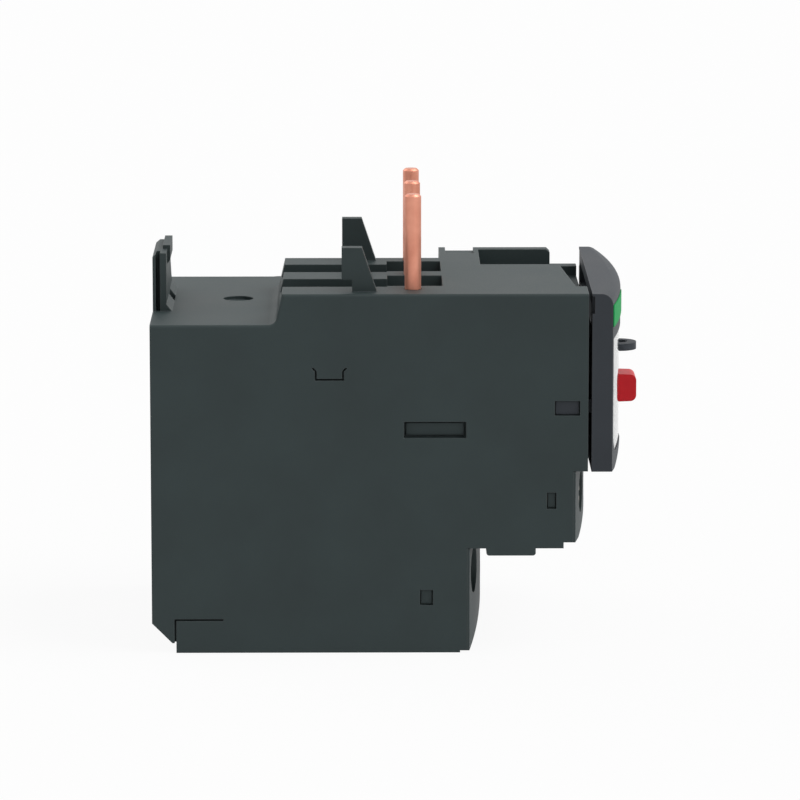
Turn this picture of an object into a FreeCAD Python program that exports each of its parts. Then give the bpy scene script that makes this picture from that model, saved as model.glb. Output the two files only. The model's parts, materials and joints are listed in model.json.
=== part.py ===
import FreeCAD, Part
import math
import os
import Sketcher
from FreeCAD import Placement, Rotation, Vector

# Three-pole thermal overload relay that hangs under a contactor by its three pins.
# Millimetres. X runs to the right as seen from the front panel, Y to the rear, Z up.
# The origin is on the resting plane, under the middle of the overall box.

# --------------------------------------------------------------------------- sizes
# Every driving size, written once. Depths are measured from the origin along Y:
# "_y" values are places on the Y axis, "_z" values are heights. A text is a formula
# of the sheet, for what moves with another size.
SIZES = {
    # housing outline
    "body_width": 45.0,
    "rear_y": 35.2,
    "foot_rear_y": 32.0,
    "foot_front_y": -8.7,
    "chamfer_z": 4.3,
    "chamfer_foot_z": 1.42,
    "low_top_z": 47.35,
    "step_rear_y": 17.5,
    "step_run": 1.0,
    "step_round": 1.2,
    "top_z": 51.74,
    "front_y": -26.79,
    "aux_floor_z": 15.14,
    "aux_front_y": -24.75,
    "panel_floor_z": 26.27,
    "power_front_y": -9.73,
    "edge_radius": 0.4,
    "wall": 1.8,
    # marks of the sides
    "mark_depth": 1.0,
    "slit": 0.25,
    "window_groove": 0.3,
    "window_groove_depth": 1.4,
    "latch_arm": 0.85,
    "latch_sink": 0.5,
    "latch_b_front_y": -25.6,
    "latch_b_rear_y": -22.05,
    "latch_b_low_z": 34.3,
    "latch_b_top_z": 36.4,
    "latch_c_front_y": -22.3,
    "latch_c_rear_y": -21.0,
    "latch_c_low_z": 20.85,
    "latch_c_top_z": 23.2,
    "latch_d_front_y": -4.8,
    "latch_d_rear_y": -3.0,
    "latch_d_low_z": 6.9,
    "latch_d_top_z": 9.1,
    "window_a_front_y": -9.5,
    "window_a_rear_y": -0.7,
    "window_a_low_z": 31.1,
    "window_a_top_z": 33.45,
    "corner_slit_y": 25.06,
    "corner_slit_z": 4.9,
    "bracket_front_y": 7.8,
    "bracket_rear_y": 11.9,
    "bracket_low_z": 39.4,
    "bracket_top_z": 41.2,
    "bracket_lean": 0.5,
    # poles
    "pole_wall": 1.2,
    "right_wall": 3.6,
    "head_room": 0.1,
    "deck_thickness": 1.85,
    "pole_first_x": "=wall + pole_left - body_width / 2",
    "pole_pitch": "=(body_width - wall - right_wall + pole_wall) / 3",
    "pole_left": "=screw_left + head_radius + head_room",
    "pole_right": "=pole_pitch - pole_left - pole_wall",
    "pole_front_y": -4.6,
    "pole_rear_y": 33.3,
    "pole_floor_z": 1.8,
    "pole_ceiling_z": "=low_top_z - deck_thickness",
    # contact pins
    "pin_y": -2.0,
    "pin_radius": 1.175,
    "pin_root_radius": 1.1,
    "pin_top_z": 65.3,
    "pin_foot_z": 34.5,
    "pin_collar_half": 1.8,
    "pin_collar_height": 1.2,
    "pin_chamfer": 0.3,
    "fit_clearance": 0.05,
    "slide_gap": 0.2,
    "lever_pin_root": 2.0,
    "entry_gap": 0.3,
    "cover_rib": 1.0,
    "plug_depth": 0.65,
    "aux_rib": 1.0,
    # top relief
    "ridge_left": 4.6,
    "ridge_right": 1.8,
    "channel_depth": 1.9,
    "slot_left": 1.5,
    "slot_right": 2.5,
    "slot_front_y": -6.25,
    "slot_rear_y": 1.6,
    "right_shelf_z": 47.35,
    "well_left_x": 5.3,
    "well_right_x": "=body_width / 2 - 2.6",
    "well_front_y": -23.6,
    "well_rear_y": -12.1,
    "well_floor_z": 48.7,
    "mechanism_rear_y": -6.2,
    "mechanism_floor_z": 27.9,
    "mechanism_ceiling_z": 47.2,
    "terminal_ceiling_z": 14.25,
    "rear_floor_y": 29.5,
    "rear_opening_z": 5.6,
    "lip_left_x": -15.4,
    "lip_y": -25.2,
    "lip_z": 49.2,
    "lip_pocket_z": 47.75,
    "lip_bevel": 0.5,
    "band_left_x": "=body_width / 2 - 6.5",
    "band_front_y": -11.4,
    "band_rear_y": -7.2,
    "band_depth": 0.55,
    "lip_side_y": -22.8,
    # fins and hook
    "fin_front_y": 3.13,
    "fin_top_front_y": 5.23,
    "fin_rear_y": 8.1,
    "fin_foot_y": 6.63,
    "fin_notch_z": 53.4,
    "fin_top_z": 58.0,
    "fin_thickness": 1.8,
    "fin_first_x": "=2.4 - body_width / 2",
    "fin_second_x": "=pole_first_x + 2 * pole_pitch - fin_thickness / 2",
    "hook_left_x": -10.1,
    "hook_slope_x": 3.7,
    "hook_right_x": 13.6,
    "hook_front_y": 33.25,
    "hook_top_z": 55.75,
    "hook_bevel": 0.6,
    "nose_left_x": -5.8,
    "nose_front_y": 32.79,
    "nose_rear_y": 33.85,
    "nose_low_z": 53.6,
    "nose_top_z": 56.3,
    "end_groove_y": 34.15,
    "end_groove_width": 0.6,
    "end_groove_depth": 2.4,
    "wedge_run": 0.8,
    "wedge_rise": 1.0,
    "core_hole_left": -0.2,
    "core_hole_right": 4.5,
    "core_hole_depth": 1.0,
    "dimple_x": 1.5,
    "dimple_y": 23.2,
    "dimple_radius": 2.2,
    "dimple_depth": 0.5,
    # front faces
    "front_bulge": 2.0,
    "power_edge_y": -10.03,
    "power_low_z": 0.3,
    "power_round_z": 5.3,
    "power_round": 7.25,
    "aux_edge_y": -25.05,
    "aux_low_z": 16.0,
    "aux_round_z": 19.5,
    "aux_round": 5.2,
    "shroud_front_y": -19.44,
    "shroud_rear_y": -12.42,
    "shroud_z": 14.1,
    "aux_foot_y": -23.4,
    # bezel
    "bezel_rear_y": -27.28,
    "bezel_edge_y": -30.2,
    "bezel_low_z": 26.23,
    "bezel_top_z": 51.75,
    "bezel_round_z": 30.0,
    "bezel_round": 5.5,
    "bezel_top_round": 1.6,
    "recess_low_z": 28.5,
    "recess_top_z": 45.2,
    "recess_round": 3.6,
    "recess_floor_y": -28.6,
    "bezel_wall": 1.0,
    "cover_thickness": 1.0,
    "cover_sink": 0.15,
    "cover_gap": 0.15,
    "cover_edge_gap": 0.12,
    "cover_corner": 5.5,
    "cover_axis_x": "=body_width / 2 - 1.7",
    "cover_axis_y": -29.8,
    "cover_barrel_radius": 0.5,
    "cover_pin_radius": 0.4,
    "cover_pin_length": 0.8,
    "nick_width": 0.35,
    "nick_depth": 1.2,
    "nick_low_z": 48.9,
    "nick_top_z": 51.4,
    "crown_half": "=body_width / 2 - 3",
    "crown_depth": 1.6,
    "crown_low_z": 46.8,
    "inlay_left_x": "=0.2 - body_width / 2",
    "inlay_right_x": -8.0,
    "inlay_low_z": 47.0,
    "inlay_top_z": 50.1,
    "inlay_proud": 0.15,
    # controls
    "stop_x": "=reset_x - reset_radius - stop_width / 2 - 2 * flange - slide_gap",
    "stop_z": 32.95,
    "stop_width": 5.0,
    "stop_height": 4.5,
    "stop_taper": 0.3,
    "stop_tip_y": -35.2,
    "stop_round": 0.9,
    "button_clearance": 0.15,
    "swing_clearance": 0.75,
    "loop_x": "=stop_x - 1",
    "loop_z": 39.17,
    "loop_thickness": 1.06,
    "loop_radius": 2.5,
    "loop_hole_radius": 1.2,
    "loop_tip_y": -35.2,
    "reset_x": "=cover_axis_x - 4.2",
    "reset_z": 36.4,
    "reset_radius": 2.5,
    "reset_tip_y": -30.9,
    "test_x": 0.0,
    "test_z": 31.6,
    "test_radius": 1.1,
    "test_tip_y": -30.2,
    "window_x": -2.2,
    "window_z": 42.4,
    "window_width": 2.2,
    "window_height": 1.8,
    "flange": 0.7,
    "flange_thickness": 1.0,
    "stem_half": 1.0,
    "guide_y": -21.4,
    "guide_thickness": 1.0,
    "stem_seat": 0.5,
    "spring_wire": 0.4,
    "spigot_radius": 1.0,
    "test_stem_half": 0.7,
    # dial
    "dial_x": "=-7 / 30 * body_width",
    "dial_z": 38.4,
    "dial_radius": 5.2,
    "dial_tip_y": -29.9,
    "dial_rim": 1.6,
    "dial_shaft_radius": 2.0,
    "cam_y": -24.6,
    "cam_thickness": 1.5,
    "cam_radius": 3.4,
    "cam_rise": 0.5,
    "dial_sweep": 260.0,
    "follower_width": 2.0,
    "follower_top_z": 46.0,
    "calibration_radius": 0.7,
    "calibration_head_half": 0.95,
    "rail_low_z": 42.9,
    "frame_floor": 1.2,
    "frame_plate": 0.5,
    "frame_front_y": -25.5,
    "cheek_top_z": 34.0,
    "flag_left": -1.0,
    "flag_right": 1.2,
    "flag_low_z": 41.5,
    "flag_height": 1.9,
    "flag_front_y": -26.9,
    "flag_swing": 2.0,
    # pole internals
    "strip_right": "=(pole_right - pole_left) / 2",
    "strip_y": 11.0,
    "strip_width": 6.0,
    "strip_thickness": 0.8,
    "strip_root_z": 17.4,
    "strip_tip_z": 43.6,
    "bar_low_z": 41.5,
    "bar_height": 1.7,
    "bar_front_y": 7.0,
    "bar_width": 3.8,
    "bar_gap": 0.4,
    "tip_clearance": 0.28,
    "winding_turns": 8.0,
    "winding_low_z": 22.0,
    "winding_pitch": 1.8,
    "ribbon_height": 1.0,
    "ribbon_thickness": 0.4,
    "winding_near": 0.9,
    "winding_far": 1.9,
    "winding_gap": 0.5,
    "pin_flat": 0.7,
    "pin_spade": 3.0,
    "ear_width": 1.2,
    "shelf_half": 2.5,
    # power terminals
    "screw_left": 0.4,
    "screw_z": 11.3,
    "screw_hole_radius": 3.5,
    "plate_y": -0.8,
    "plate_thickness": 1.2,
    "plate_top_z": 13.4,
    "plate_left": 2.0,
    "plate_right": "=pole_right - 0.4",
    "saddle_y": -6.4,
    "saddle_thickness": 1.0,
    "saddle_low_z": 7.9,
    "head_radius": 2.8,
    "head_height": 2.4,
    "shank_radius": 1.9,
    "shank_length": 8.2,
    "slot_width": 0.9,
    "slot_depth": 1.2,
    "leg_y": 15.0,
    # auxiliary terminals
    "aux_side": 1.7,
    "aux_first_x": "=-1.5 * aux_pitch",
    "aux_pitch": "=(body_width - 2 * aux_side) / 4",
    "aux_screw_z": 22.2,
    "aux_hole_radius": 3.1,
    "aux_chamber_floor_z": 16.9,
    "aux_chamber_ceiling_z": 24.6,
    "aux_chamber_rear_y": -11.5,
    "aux_plate_y": -18.8,
    "aux_plate_thickness": 1.0,
    "aux_plate_half": 3.6,
    "aux_saddle_y": -23.9,
    "aux_saddle_thickness": 0.8,
    "aux_head_radius": 2.4,
    "aux_head_height": 1.8,
    "aux_shank_radius": 1.4,
    "aux_shank_length": 6.4,
    "aux_arm_width": 2.4,
    "aux_clamp_lift": 1.6,
    "open_tab_lift": 2.0,
    # trip lever and rocker
    "lever_x": "=body_width / 3",
    "lever_y": -3.2,
    "lever_width": 1.6,
    "lever_rear_y": 6.3,
    "lever_cross_y": -14.2,
    "lever_tip_x": 1.15,
    "lever_low_z": 41.7,
    "lever_height": 1.5,
    "lever_hub_radius": 1.9,
    "pivot_radius": 0.8,
    "lever_head_half": 1.3,
    "finger_y": 4.9,
    "finger_width": 1.0,
    "bar_left_end": "=pole_left + strip_right - 0.5",
    "bar_travel_room": 1.6,
    "bar_right_end": "=pole_right - strip_right - bar_travel_room",
    "rocker_z": 31.2,
    "rocker_front_y": -17.6,
    "rocker_width": 2.0,
    "rocker_hub_radius": 1.9,
    "rocker_arm": "=bridge_x + bridge_half",
    "rocker_arm_height": 1.8,
    "paddle_left": 0.8,
    "paddle_right": 1.0,
    "paddle_rear_y": -10.4,
    "paddle_top_z": 43.4,
    "bridge_x": "=aux_pitch",
    "bridge_half": 2.5,
    "bridge_thickness": 0.5,
    "contact_reach": 1.8,
    "contact_half": 0.9,
    "contact_shut": 0.05,
    "contact_open_inner": 1.36,
    "contact_open_outer": 1.8,
    "tab_z": 33.6,
    "tab_thickness": 1.0,
}


COARSE_SIDES = 12
FINE_SIDES = 32


class Size:
    """A size: its value, and the sheet expression that gives it."""

    def __init__(self, text, value):
        self.text = text
        self.value = value

    def __add__(self, other):
        other = as_size(other)
        return Size(f"({self.text} + {other.text})", self.value + other.value)

    def __radd__(self, other):
        return as_size(other) + self

    def __sub__(self, other):
        other = as_size(other)
        return Size(f"({self.text} - {other.text})", self.value - other.value)

    def __rsub__(self, other):
        return as_size(other) - self

    def __mul__(self, other):
        other = as_size(other)
        return Size(f"({self.text} * {other.text})", self.value * other.value)

    def __rmul__(self, other):
        return as_size(other) * self

    def __truediv__(self, other):
        other = as_size(other)
        return Size(f"({self.text} / {other.text})", self.value / other.value)

    def __neg__(self):
        return Size(f"(0 - {self.text})", -self.value)


def as_size(value):
    """A plain number as a Size, and a Size as it is."""
    if isinstance(value, Size):
        return value
    return Size(f"{value:.10g}", value)


class Sheet:
    """The spreadsheet of driving sizes, read as attributes that are Size objects."""

    def __init__(self, doc, sizes):
        self.cells = doc.addObject("Spreadsheet::Sheet", "Sizes")
        for row, (alias, value) in enumerate(sizes.items(), start=1):
            self.cells.set(f"A{row}", alias)
            self.cells.setAlias(f"B{row}", alias)
            if not isinstance(value, str):
                self.cells.set(f"B{row}", str(value))
        doc.recompute()
        for row, value in enumerate(sizes.values(), start=1):
            if isinstance(value, str):
                self.cells.set(f"B{row}", value)
        doc.recompute()

    def __getattr__(self, alias):
        return Size(f"Sizes.{alias}", getattr(self.cells, alias))


DOC = FreeCAD.newDocument("OverloadRelay")
S = Sheet(DOC, SIZES)
NODES = []
ROTATIONS = {
    "X": Rotation(Vector(0, 1, 0), 90),
    "Y": Rotation(Vector(1, 0, 0), -90),
    "Z": Rotation(),
}
PLANE_ROLES = {"X": "YZ_Plane", "Y": "XZ_Plane", "Z": "XY_Plane"}


# --------------------------------------------------------------------- modelling aids
def bind(item, prop, size):
    """Tie one property of an object to the sheet."""
    item.setExpression(prop, as_size(size).text)


def place(item, x, y, z, rotation=Rotation()):
    """Place an object, its base tied to the sheet."""
    x, y, z = as_size(x), as_size(y), as_size(z)
    item.Placement = Placement(Vector(x.value, y.value, z.value), rotation)
    for axis, size in zip("xyz", (x, y, z)):
        bind(item, f"Placement.Base.{axis}", size)


def box(x, y, z, name="Box"):
    """A box between two X, two Y and two Z values."""
    solid = DOC.addObject("Part::Box", name)
    for prop, (low, high) in zip(("Length", "Width", "Height"), (x, y, z)):
        bind(solid, prop, as_size(high) - low)
    place(solid, x[0], y[0], z[0])
    return solid


def bar(kind, name, axis, centre, span, prop, radius):
    """A Part primitive that stands on its foot, turned to lie along an axis."""
    solid = DOC.addObject(kind, name)
    bind(solid, prop, radius)
    bind(solid, "Height", as_size(span[1]) - span[0])
    spot = list(centre)
    spot.insert("XYZ".index(axis), span[0])
    place(solid, *spot, ROTATIONS[axis])
    return solid


def rod(axis, centre, span, radius, name="Rod"):
    """A cylinder along an axis: centre gives its other two coordinates, in order."""
    return bar("Part::Cylinder", name, axis, centre, span, "Radius", radius)


def faceted_rod(axis, centre, span, radius, sides=COARSE_SIDES, name="FacetedRod"):
    """A rod of even sides that lies inside a cylinder of that radius."""
    solid = bar("Part::Prism", name, axis, centre, span, "Circumradius", radius)
    solid.Polygon = sides
    return solid


def faceted_hole(axis, centre, span, radius, sides=COARSE_SIDES, name="FacetedHole"):
    """A hole of even sides that a cylinder of that radius just passes."""
    return faceted_rod(axis, centre, span, radius / math.cos(math.pi / sides), sides, name)


def fuse(name, *items):
    """Join solids into one."""
    joined = DOC.addObject("Part::MultiFuse", name)
    joined.Shapes = list(items)
    joined.Refine = True
    return joined


def cut(name, base, *tools):
    """Take tools away from a base solid."""
    result = DOC.addObject("Part::Cut", name)
    result.Base = base
    result.Tool = tools[0] if len(tools) == 1 else fuse(f"{name}_tools", *tools)
    result.Refine = True
    return result


def common(name, first, second):
    """What two solids share."""
    result = DOC.addObject("Part::Common", name)
    result.Base = first
    result.Tool = second
    return result


def add_node(label, item):
    """Name an object as a piece of the product."""
    item.Label = label
    NODES.append(item)
    return item


def bind_point(sketch, geometry, spot, point):
    """Hold one end of a sketch line at a point of the sheet."""
    for kind, size in zip(("DistanceX", "DistanceY"), point):
        size = as_size(size)
        index = sketch.addConstraint(
            Sketcher.Constraint(kind, -1, 1, geometry, spot, size.value))
        sketch.setExpression(f"Constraints[{index}]", size.text)


def corner_arc(sketch, points, index, lines):
    """Round a sketch corner: an arc tangent to both lines, radius from the sheet."""
    here = Vector(points[index][0].value, points[index][1].value, 0)
    radius = points[index][2]
    before, after = lines[index - 1], lines[index]
    arms = []
    for other in (points[index - 1], points[(index + 1) % len(points)]):
        arm = Vector(other[0].value, other[1].value, 0) - here
        arms.append(arm.normalize())
    half = arms[0].getAngle(arms[1]) / 2
    reach = radius.value / math.tan(half)
    middle = (arms[0] + arms[1]).normalize()
    centre = here + middle * (radius.value / math.sin(half))
    ends = [here + arm * reach for arm in arms]
    bulge = centre - middle * radius.value
    arc = sketch.addGeometry(Part.Arc(ends[0], bulge, ends[1]), False)
    shape = sketch.Geometry[arc]
    first = 1 if shape.StartPoint.distanceToPoint(ends[0]) < 1e-6 else 2
    corner = sketch.addGeometry(Part.Point(here), True)
    bind_point(sketch, corner, 1, points[index])
    sketch.addConstraint(Sketcher.Constraint("PointOnObject", corner, 1, before))
    sketch.addConstraint(Sketcher.Constraint("PointOnObject", corner, 1, after))
    sketch.addConstraint(Sketcher.Constraint("Tangent", arc, first, before, 2))
    sketch.addConstraint(Sketcher.Constraint("Tangent", arc, 3 - first, after, 1))
    held = sketch.addConstraint(Sketcher.Constraint("Radius", arc, radius.value))
    sketch.setExpression(f"Constraints[{held}]", radius.text)
    return ends


def outline_sketch(body, axis, outline, start):
    """A closed outline on an origin plane; a third value in a point rounds it."""
    sketch = body.newObject("Sketcher::SketchObject", "Outline")
    role = PLANE_ROLES[axis]
    plane = [item for item in body.Origin.OriginFeatures if item.Role == role][0]
    sketch.AttachmentSupport = (plane, [""])
    sketch.MapMode = "FlatFace"
    bind(sketch, "AttachmentOffset.Base.z", start)
    points = [tuple(as_size(value) for value in point) for point in outline]
    count = len(points)
    lines = []
    for index in range(count):
        first, last = points[index], points[(index + 1) % count]
        ends = [Vector(spot[0].value, spot[1].value, 0) for spot in (first, last)]
        lines.append(sketch.addGeometry(Part.LineSegment(*ends), False))
    for index in range(count):
        if len(points[index]) == 3:
            corner_arc(sketch, points, index, lines)
            continue
        previous = lines[index - 1]
        sketch.addConstraint(
            Sketcher.Constraint("Coincident", previous, 2, lines[index], 1))
        bind_point(sketch, lines[index], 1, points[index])
    return sketch


def prism(axis, outline, span, name="Prism"):
    """A padded body: an outline across an axis, carried from one place to another.

    The outline's coordinates are (Y, Z) across X, (X, Z) across Y and (X, Y) across Z.
    """
    low, high = as_size(span[0]), as_size(span[1])
    body = DOC.addObject("PartDesign::Body", name)
    sketch = outline_sketch(body, axis, outline, -high if axis == "Y" else low)
    pad = body.newObject("PartDesign::Pad", "Pad")
    pad.Profile = sketch
    bind(pad, "Length", high - low)
    body.Tip = pad
    return body


def round_edges(body, radius, wanted):
    """Round the edges of a body whose middle point is wanted."""
    DOC.recompute()
    last = body.Tip
    edges = [f"Edge{number}" for number, edge in enumerate(last.Shape.Edges, start=1)
             if wanted(edge.CenterOfMass)]
    fillet = body.newObject("PartDesign::Fillet", "Round")
    fillet.Base = (last, edges)
    bind(fillet, "Radius", radius)
    body.Tip = fillet
    return body


def revolved(axis_x, axis_z, profile, name="Turned"):
    """A body turned about a Y axis: the profile's points are (radius, Y)."""
    body = DOC.addObject("PartDesign::Body", name)
    sketch = outline_sketch(body, "Z", profile, 0)
    turn = body.newObject("PartDesign::Revolution", "Turn")
    turn.Profile = sketch
    turn.ReferenceAxis = (sketch, ["V_Axis"])
    turn.Angle = 360
    body.Tip = turn
    place(body, axis_x, 0, axis_z)
    return body


def bulged_plate(rear_y, edge_y, low_z, top_z, half_width, name="Plate"):
    """A plate whose front is bowed in plan, as all the relay's front faces are.

    The bow is one arc with the housing's full-width chord, so that narrower plates
    and plates behind one another stay parallel.
    """
    body = DOC.addObject("PartDesign::Body", name)
    sketch = body.newObject("Sketcher::SketchObject", "Plan")
    plane = [f for f in body.Origin.OriginFeatures if f.Role == "XY_Plane"][0]
    sketch.AttachmentSupport = (plane, [""])
    sketch.MapMode = "FlatFace"
    bind(sketch, "AttachmentOffset.Base.z", low_z)
    full = S.body_width / 2
    rise = S.front_bulge * (1 - half_width * half_width / (full * full))
    tip_y = edge_y - S.front_bulge
    side_y = tip_y + (S.front_bulge - rise)
    half = half_width.value
    corners = [(-half, rear_y.value), (-half, side_y.value),
               (half, side_y.value), (half, rear_y.value)]
    spots = [Vector(x, y, 0) for x, y in corners]
    left = sketch.addGeometry(Part.LineSegment(spots[0], spots[1]), False)
    bow = sketch.addGeometry(Part.Arc(spots[1], Vector(0, tip_y.value, 0), spots[2]), False)
    right = sketch.addGeometry(Part.LineSegment(spots[2], spots[3]), False)
    back = sketch.addGeometry(Part.LineSegment(spots[3], spots[0]), False)
    starts_left = sketch.Geometry[bow].StartPoint.x < 0
    bow_left, bow_right = (1, 2) if starts_left else (2, 1)
    joins = ((left, 2, bow, bow_left), (bow, bow_right, right, 1), (right, 2, back, 1),
             (back, 2, left, 1))
    for first, end, second, start in joins:
        sketch.addConstraint(Sketcher.Constraint("Coincident", first, end, second, start))
    for line, spot, point in ((left, 1, (-half_width, rear_y)), (left, 2, (-half_width, side_y)),
                              (right, 1, (half_width, side_y)), (right, 2, (half_width, rear_y))):
        bind_point(sketch, line, spot, point)
    crown = sketch.addGeometry(Part.Point(Vector(0, tip_y.value, 0)), True)
    bind_point(sketch, crown, 1, (0, tip_y))
    sketch.addConstraint(Sketcher.Constraint("PointOnObject", crown, 1, bow))
    pad = body.newObject("PartDesign::Pad", "Pad")
    pad.Profile = sketch
    bind(pad, "Length", top_z - low_z)
    body.Tip = pad
    return body


HALF = S.body_width / 2
INNER = HALF - S.wall


def pole_x(index):
    """X of a pole's contact pin."""
    return S.pole_first_x + index * S.pole_pitch


def aux_x(index):
    """X of an auxiliary terminal."""
    return S.aux_first_x + index * S.aux_pitch


def under_round(edge_y, centre_z, radius, low_z, name):
    """What a rounded lower front corner leaves out: all below and outside one arc."""
    tip_y = edge_y - S.front_bulge
    centre_y = tip_y + radius
    block = box((-HALF - 1, HALF + 1), (tip_y - 1, centre_y), (low_z - 1, centre_z))
    drum = rod("X", (centre_y, centre_z), (-HALF - 2, HALF + 2), radius)
    return cut(name, block, drum)


def side_span(side, depth):
    """X range of a cut that goes in from the left (-1) or right (1) side by a depth."""
    if side < 0:
        return -HALF - 1, -HALF + depth
    return HALF - depth, HALF + 1


# --------------------------------------------------------------------------- housing
def housing_block():
    """The housing's outer form: its side outline carried across the whole width."""
    chamfer_run = S.chamfer_z - S.chamfer_foot_z
    outline = [
        (S.rear_y, S.low_top_z),
        (S.rear_y, S.chamfer_z),
        (S.rear_y - chamfer_run, S.chamfer_foot_z),
        (S.foot_rear_y - S.slit, S.chamfer_foot_z),
        (S.foot_rear_y - S.slit, 0),
        (S.foot_front_y, 0),
        (S.foot_front_y, S.power_low_z),
        (S.power_front_y, S.power_low_z),
        (S.power_front_y, S.aux_floor_z),
        (S.aux_foot_y, S.aux_floor_z),
        (S.aux_foot_y, S.aux_low_z),
        (S.aux_front_y, S.aux_low_z),
        (S.aux_front_y, S.panel_floor_z),
        (S.front_y, S.panel_floor_z),
        (S.front_y, S.top_z),
        (S.step_rear_y - S.step_run, S.top_z),
        (S.step_rear_y, S.low_top_z, S.step_round),
    ]
    block = prism("X", outline, (-HALF, HALF), "HousingBlock")
    return round_edges(block, S.edge_radius, lambda middle: middle.z > S.low_top_z.value - 1e-6
                       and abs(abs(middle.x) - HALF.value) < 1e-6)


def pole_chamber(index):
    """One pole's hollow, open to the terminal at the front and to the rear cover."""
    front = S.power_front_y - 1
    outline = [
        (front, S.pole_floor_z),
        (S.rear_floor_y, S.pole_floor_z),
        (S.pole_rear_y, S.rear_opening_z),
        (S.pole_rear_y, S.pole_ceiling_z),
        (S.pole_front_y, S.pole_ceiling_z),
        (S.pole_front_y, S.terminal_ceiling_z),
        (front, S.terminal_ceiling_z),
    ]
    span = (pole_x(index) - S.pole_left, pole_x(index) + S.pole_right)
    return prism("X", outline, span, "PoleChamber")


def top_relief():
    """Cuts that leave the pole ridges, the plateau, the well and the front lip."""
    above = S.top_z + 1
    channel_z = S.top_z - S.channel_depth
    behind = S.step_rear_y + 1
    cuts = []
    for index in (0, 1):
        left, right = pole_x(index), pole_x(index + 1)
        cuts.append(box((left + S.ridge_right, right - S.ridge_left),
                        (S.slot_rear_y, behind), (channel_z, above)))
        cuts.append(box((left + S.slot_right, right - S.slot_left),
                        (S.slot_front_y, S.slot_rear_y), (channel_z, above)))
    cuts.append(box((pole_x(2) + S.ridge_right, HALF + 1), (S.slot_front_y, behind),
                    (S.right_shelf_z, above)))
    cuts.append(box((S.well_left_x, S.well_right_x), (S.well_front_y, S.well_rear_y),
                    (S.well_floor_z, above)))
    cuts.append(box((S.band_left_x, HALF + 1), (S.band_front_y, S.band_rear_y),
                    (S.top_z - S.band_depth, above)))
    ahead = S.front_y - 1
    lip = [
        (S.lip_left_x, ahead),
        (S.well_right_x, ahead),
        (S.well_right_x, S.well_front_y),
        (S.well_left_x, S.well_front_y),
        (S.lip_left_x, S.lip_y),
    ]
    cuts.append(prism("Z", lip, (S.lip_pocket_z, above), "Lip"))
    cuts.append(box((S.well_right_x, HALF + 1), (ahead, S.lip_side_y), (S.lip_z, above)))
    cuts.append(prism("X", [
        (S.lip_side_y - 1, S.top_z - S.lip_bevel - 1),
        (S.lip_side_y + S.lip_bevel + 1, above),
        (S.lip_side_y - 1, above),
    ], (S.well_right_x, HALF + 1), "LipBevel"))
    cuts.append(faceted_hole("Z", (S.dimple_x, S.dimple_y),
                             (S.low_top_z - S.dimple_depth, S.low_top_z + 1),
                             S.dimple_radius, FINE_SIDES))
    cuts.append(box((S.core_hole_left, S.core_hole_right),
                    (S.hook_front_y - S.wedge_run, S.hook_front_y),
                    (S.low_top_z - S.core_hole_depth, S.low_top_z + 1)))
    for index in range(3):
        cuts.append(faceted_hole("Z", (pole_x(index), S.pin_y),
                                 (S.pole_ceiling_z - 1, above),
                                 S.pin_radius + S.fit_clearance))
    return cuts


def side_marks():
    """Latch windows, the long blind window and the thin slits of both sides."""
    cuts = []
    for side in (-1, 1):
        through = side_span(side, S.wall + 0.5)
        shallow = side_span(side, S.mark_depth)
        cuts.append(box(through, (S.latch_b_front_y, S.latch_b_rear_y),
                        (S.latch_b_low_z, S.latch_b_top_z)))
        cuts.append(box(through, (S.latch_c_front_y, S.latch_c_rear_y),
                        (S.latch_c_low_z, S.latch_c_top_z)))
        cuts.append(box(through, (S.latch_d_front_y, S.latch_d_rear_y),
                        (S.latch_d_low_z, S.latch_d_top_z)))
        front, rear = S.window_a_front_y, S.window_a_rear_y
        low, top = S.window_a_low_z, S.window_a_top_z
        groove = S.window_groove
        cuts.append(box(shallow, (front, rear), (low, top)))
        cuts.append(cut("WindowGroove",
                        box(side_span(side, S.window_groove_depth), (front, rear), (low, top)),
                        box((-HALF - 2, HALF + 2), (front + groove, rear - groove),
                            (low + groove, top - groove))))
        cuts.append(box(shallow, (S.corner_slit_y, S.foot_rear_y),
                        (S.corner_slit_z - S.slit, S.corner_slit_z)))
        cuts.append(box(shallow, (S.foot_rear_y - S.slit, S.foot_rear_y),
                        (-1, S.corner_slit_z)))
        low, top = S.bracket_low_z, S.bracket_top_z
        front, rear, lean = S.bracket_front_y, S.bracket_rear_y, S.bracket_lean
        slanted = S.slit * math.sqrt(2)
        bracket = [
            (front - lean, top), (front, top - lean), (front, low), (rear, low),
            (rear, top - lean), (rear + lean, top), (rear + lean - slanted, top),
            (rear - S.slit, top - lean), (rear - S.slit, low + S.slit),
            (front + S.slit, low + S.slit), (front + S.slit, top - lean),
            (front - lean + slanted, top),
        ]
        cuts.append(prism("X", bracket, shallow, "BracketSlit"))
    return cuts


def fin(left_x):
    """One of the two slanted fins that guide the contactor's latch."""
    root_z = S.top_z - 1
    outline = [
        (S.fin_front_y, root_z),
        (S.fin_front_y, S.top_z),
        (S.fin_top_front_y, S.fin_top_z),
        (S.fin_rear_y, S.fin_top_z),
        (S.fin_rear_y, S.fin_notch_z),
        (S.fin_foot_y, S.fin_notch_z),
        (S.fin_foot_y, root_z),
    ]
    return prism("X", outline, (left_x, left_x + S.fin_thickness), "Fin")


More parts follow.
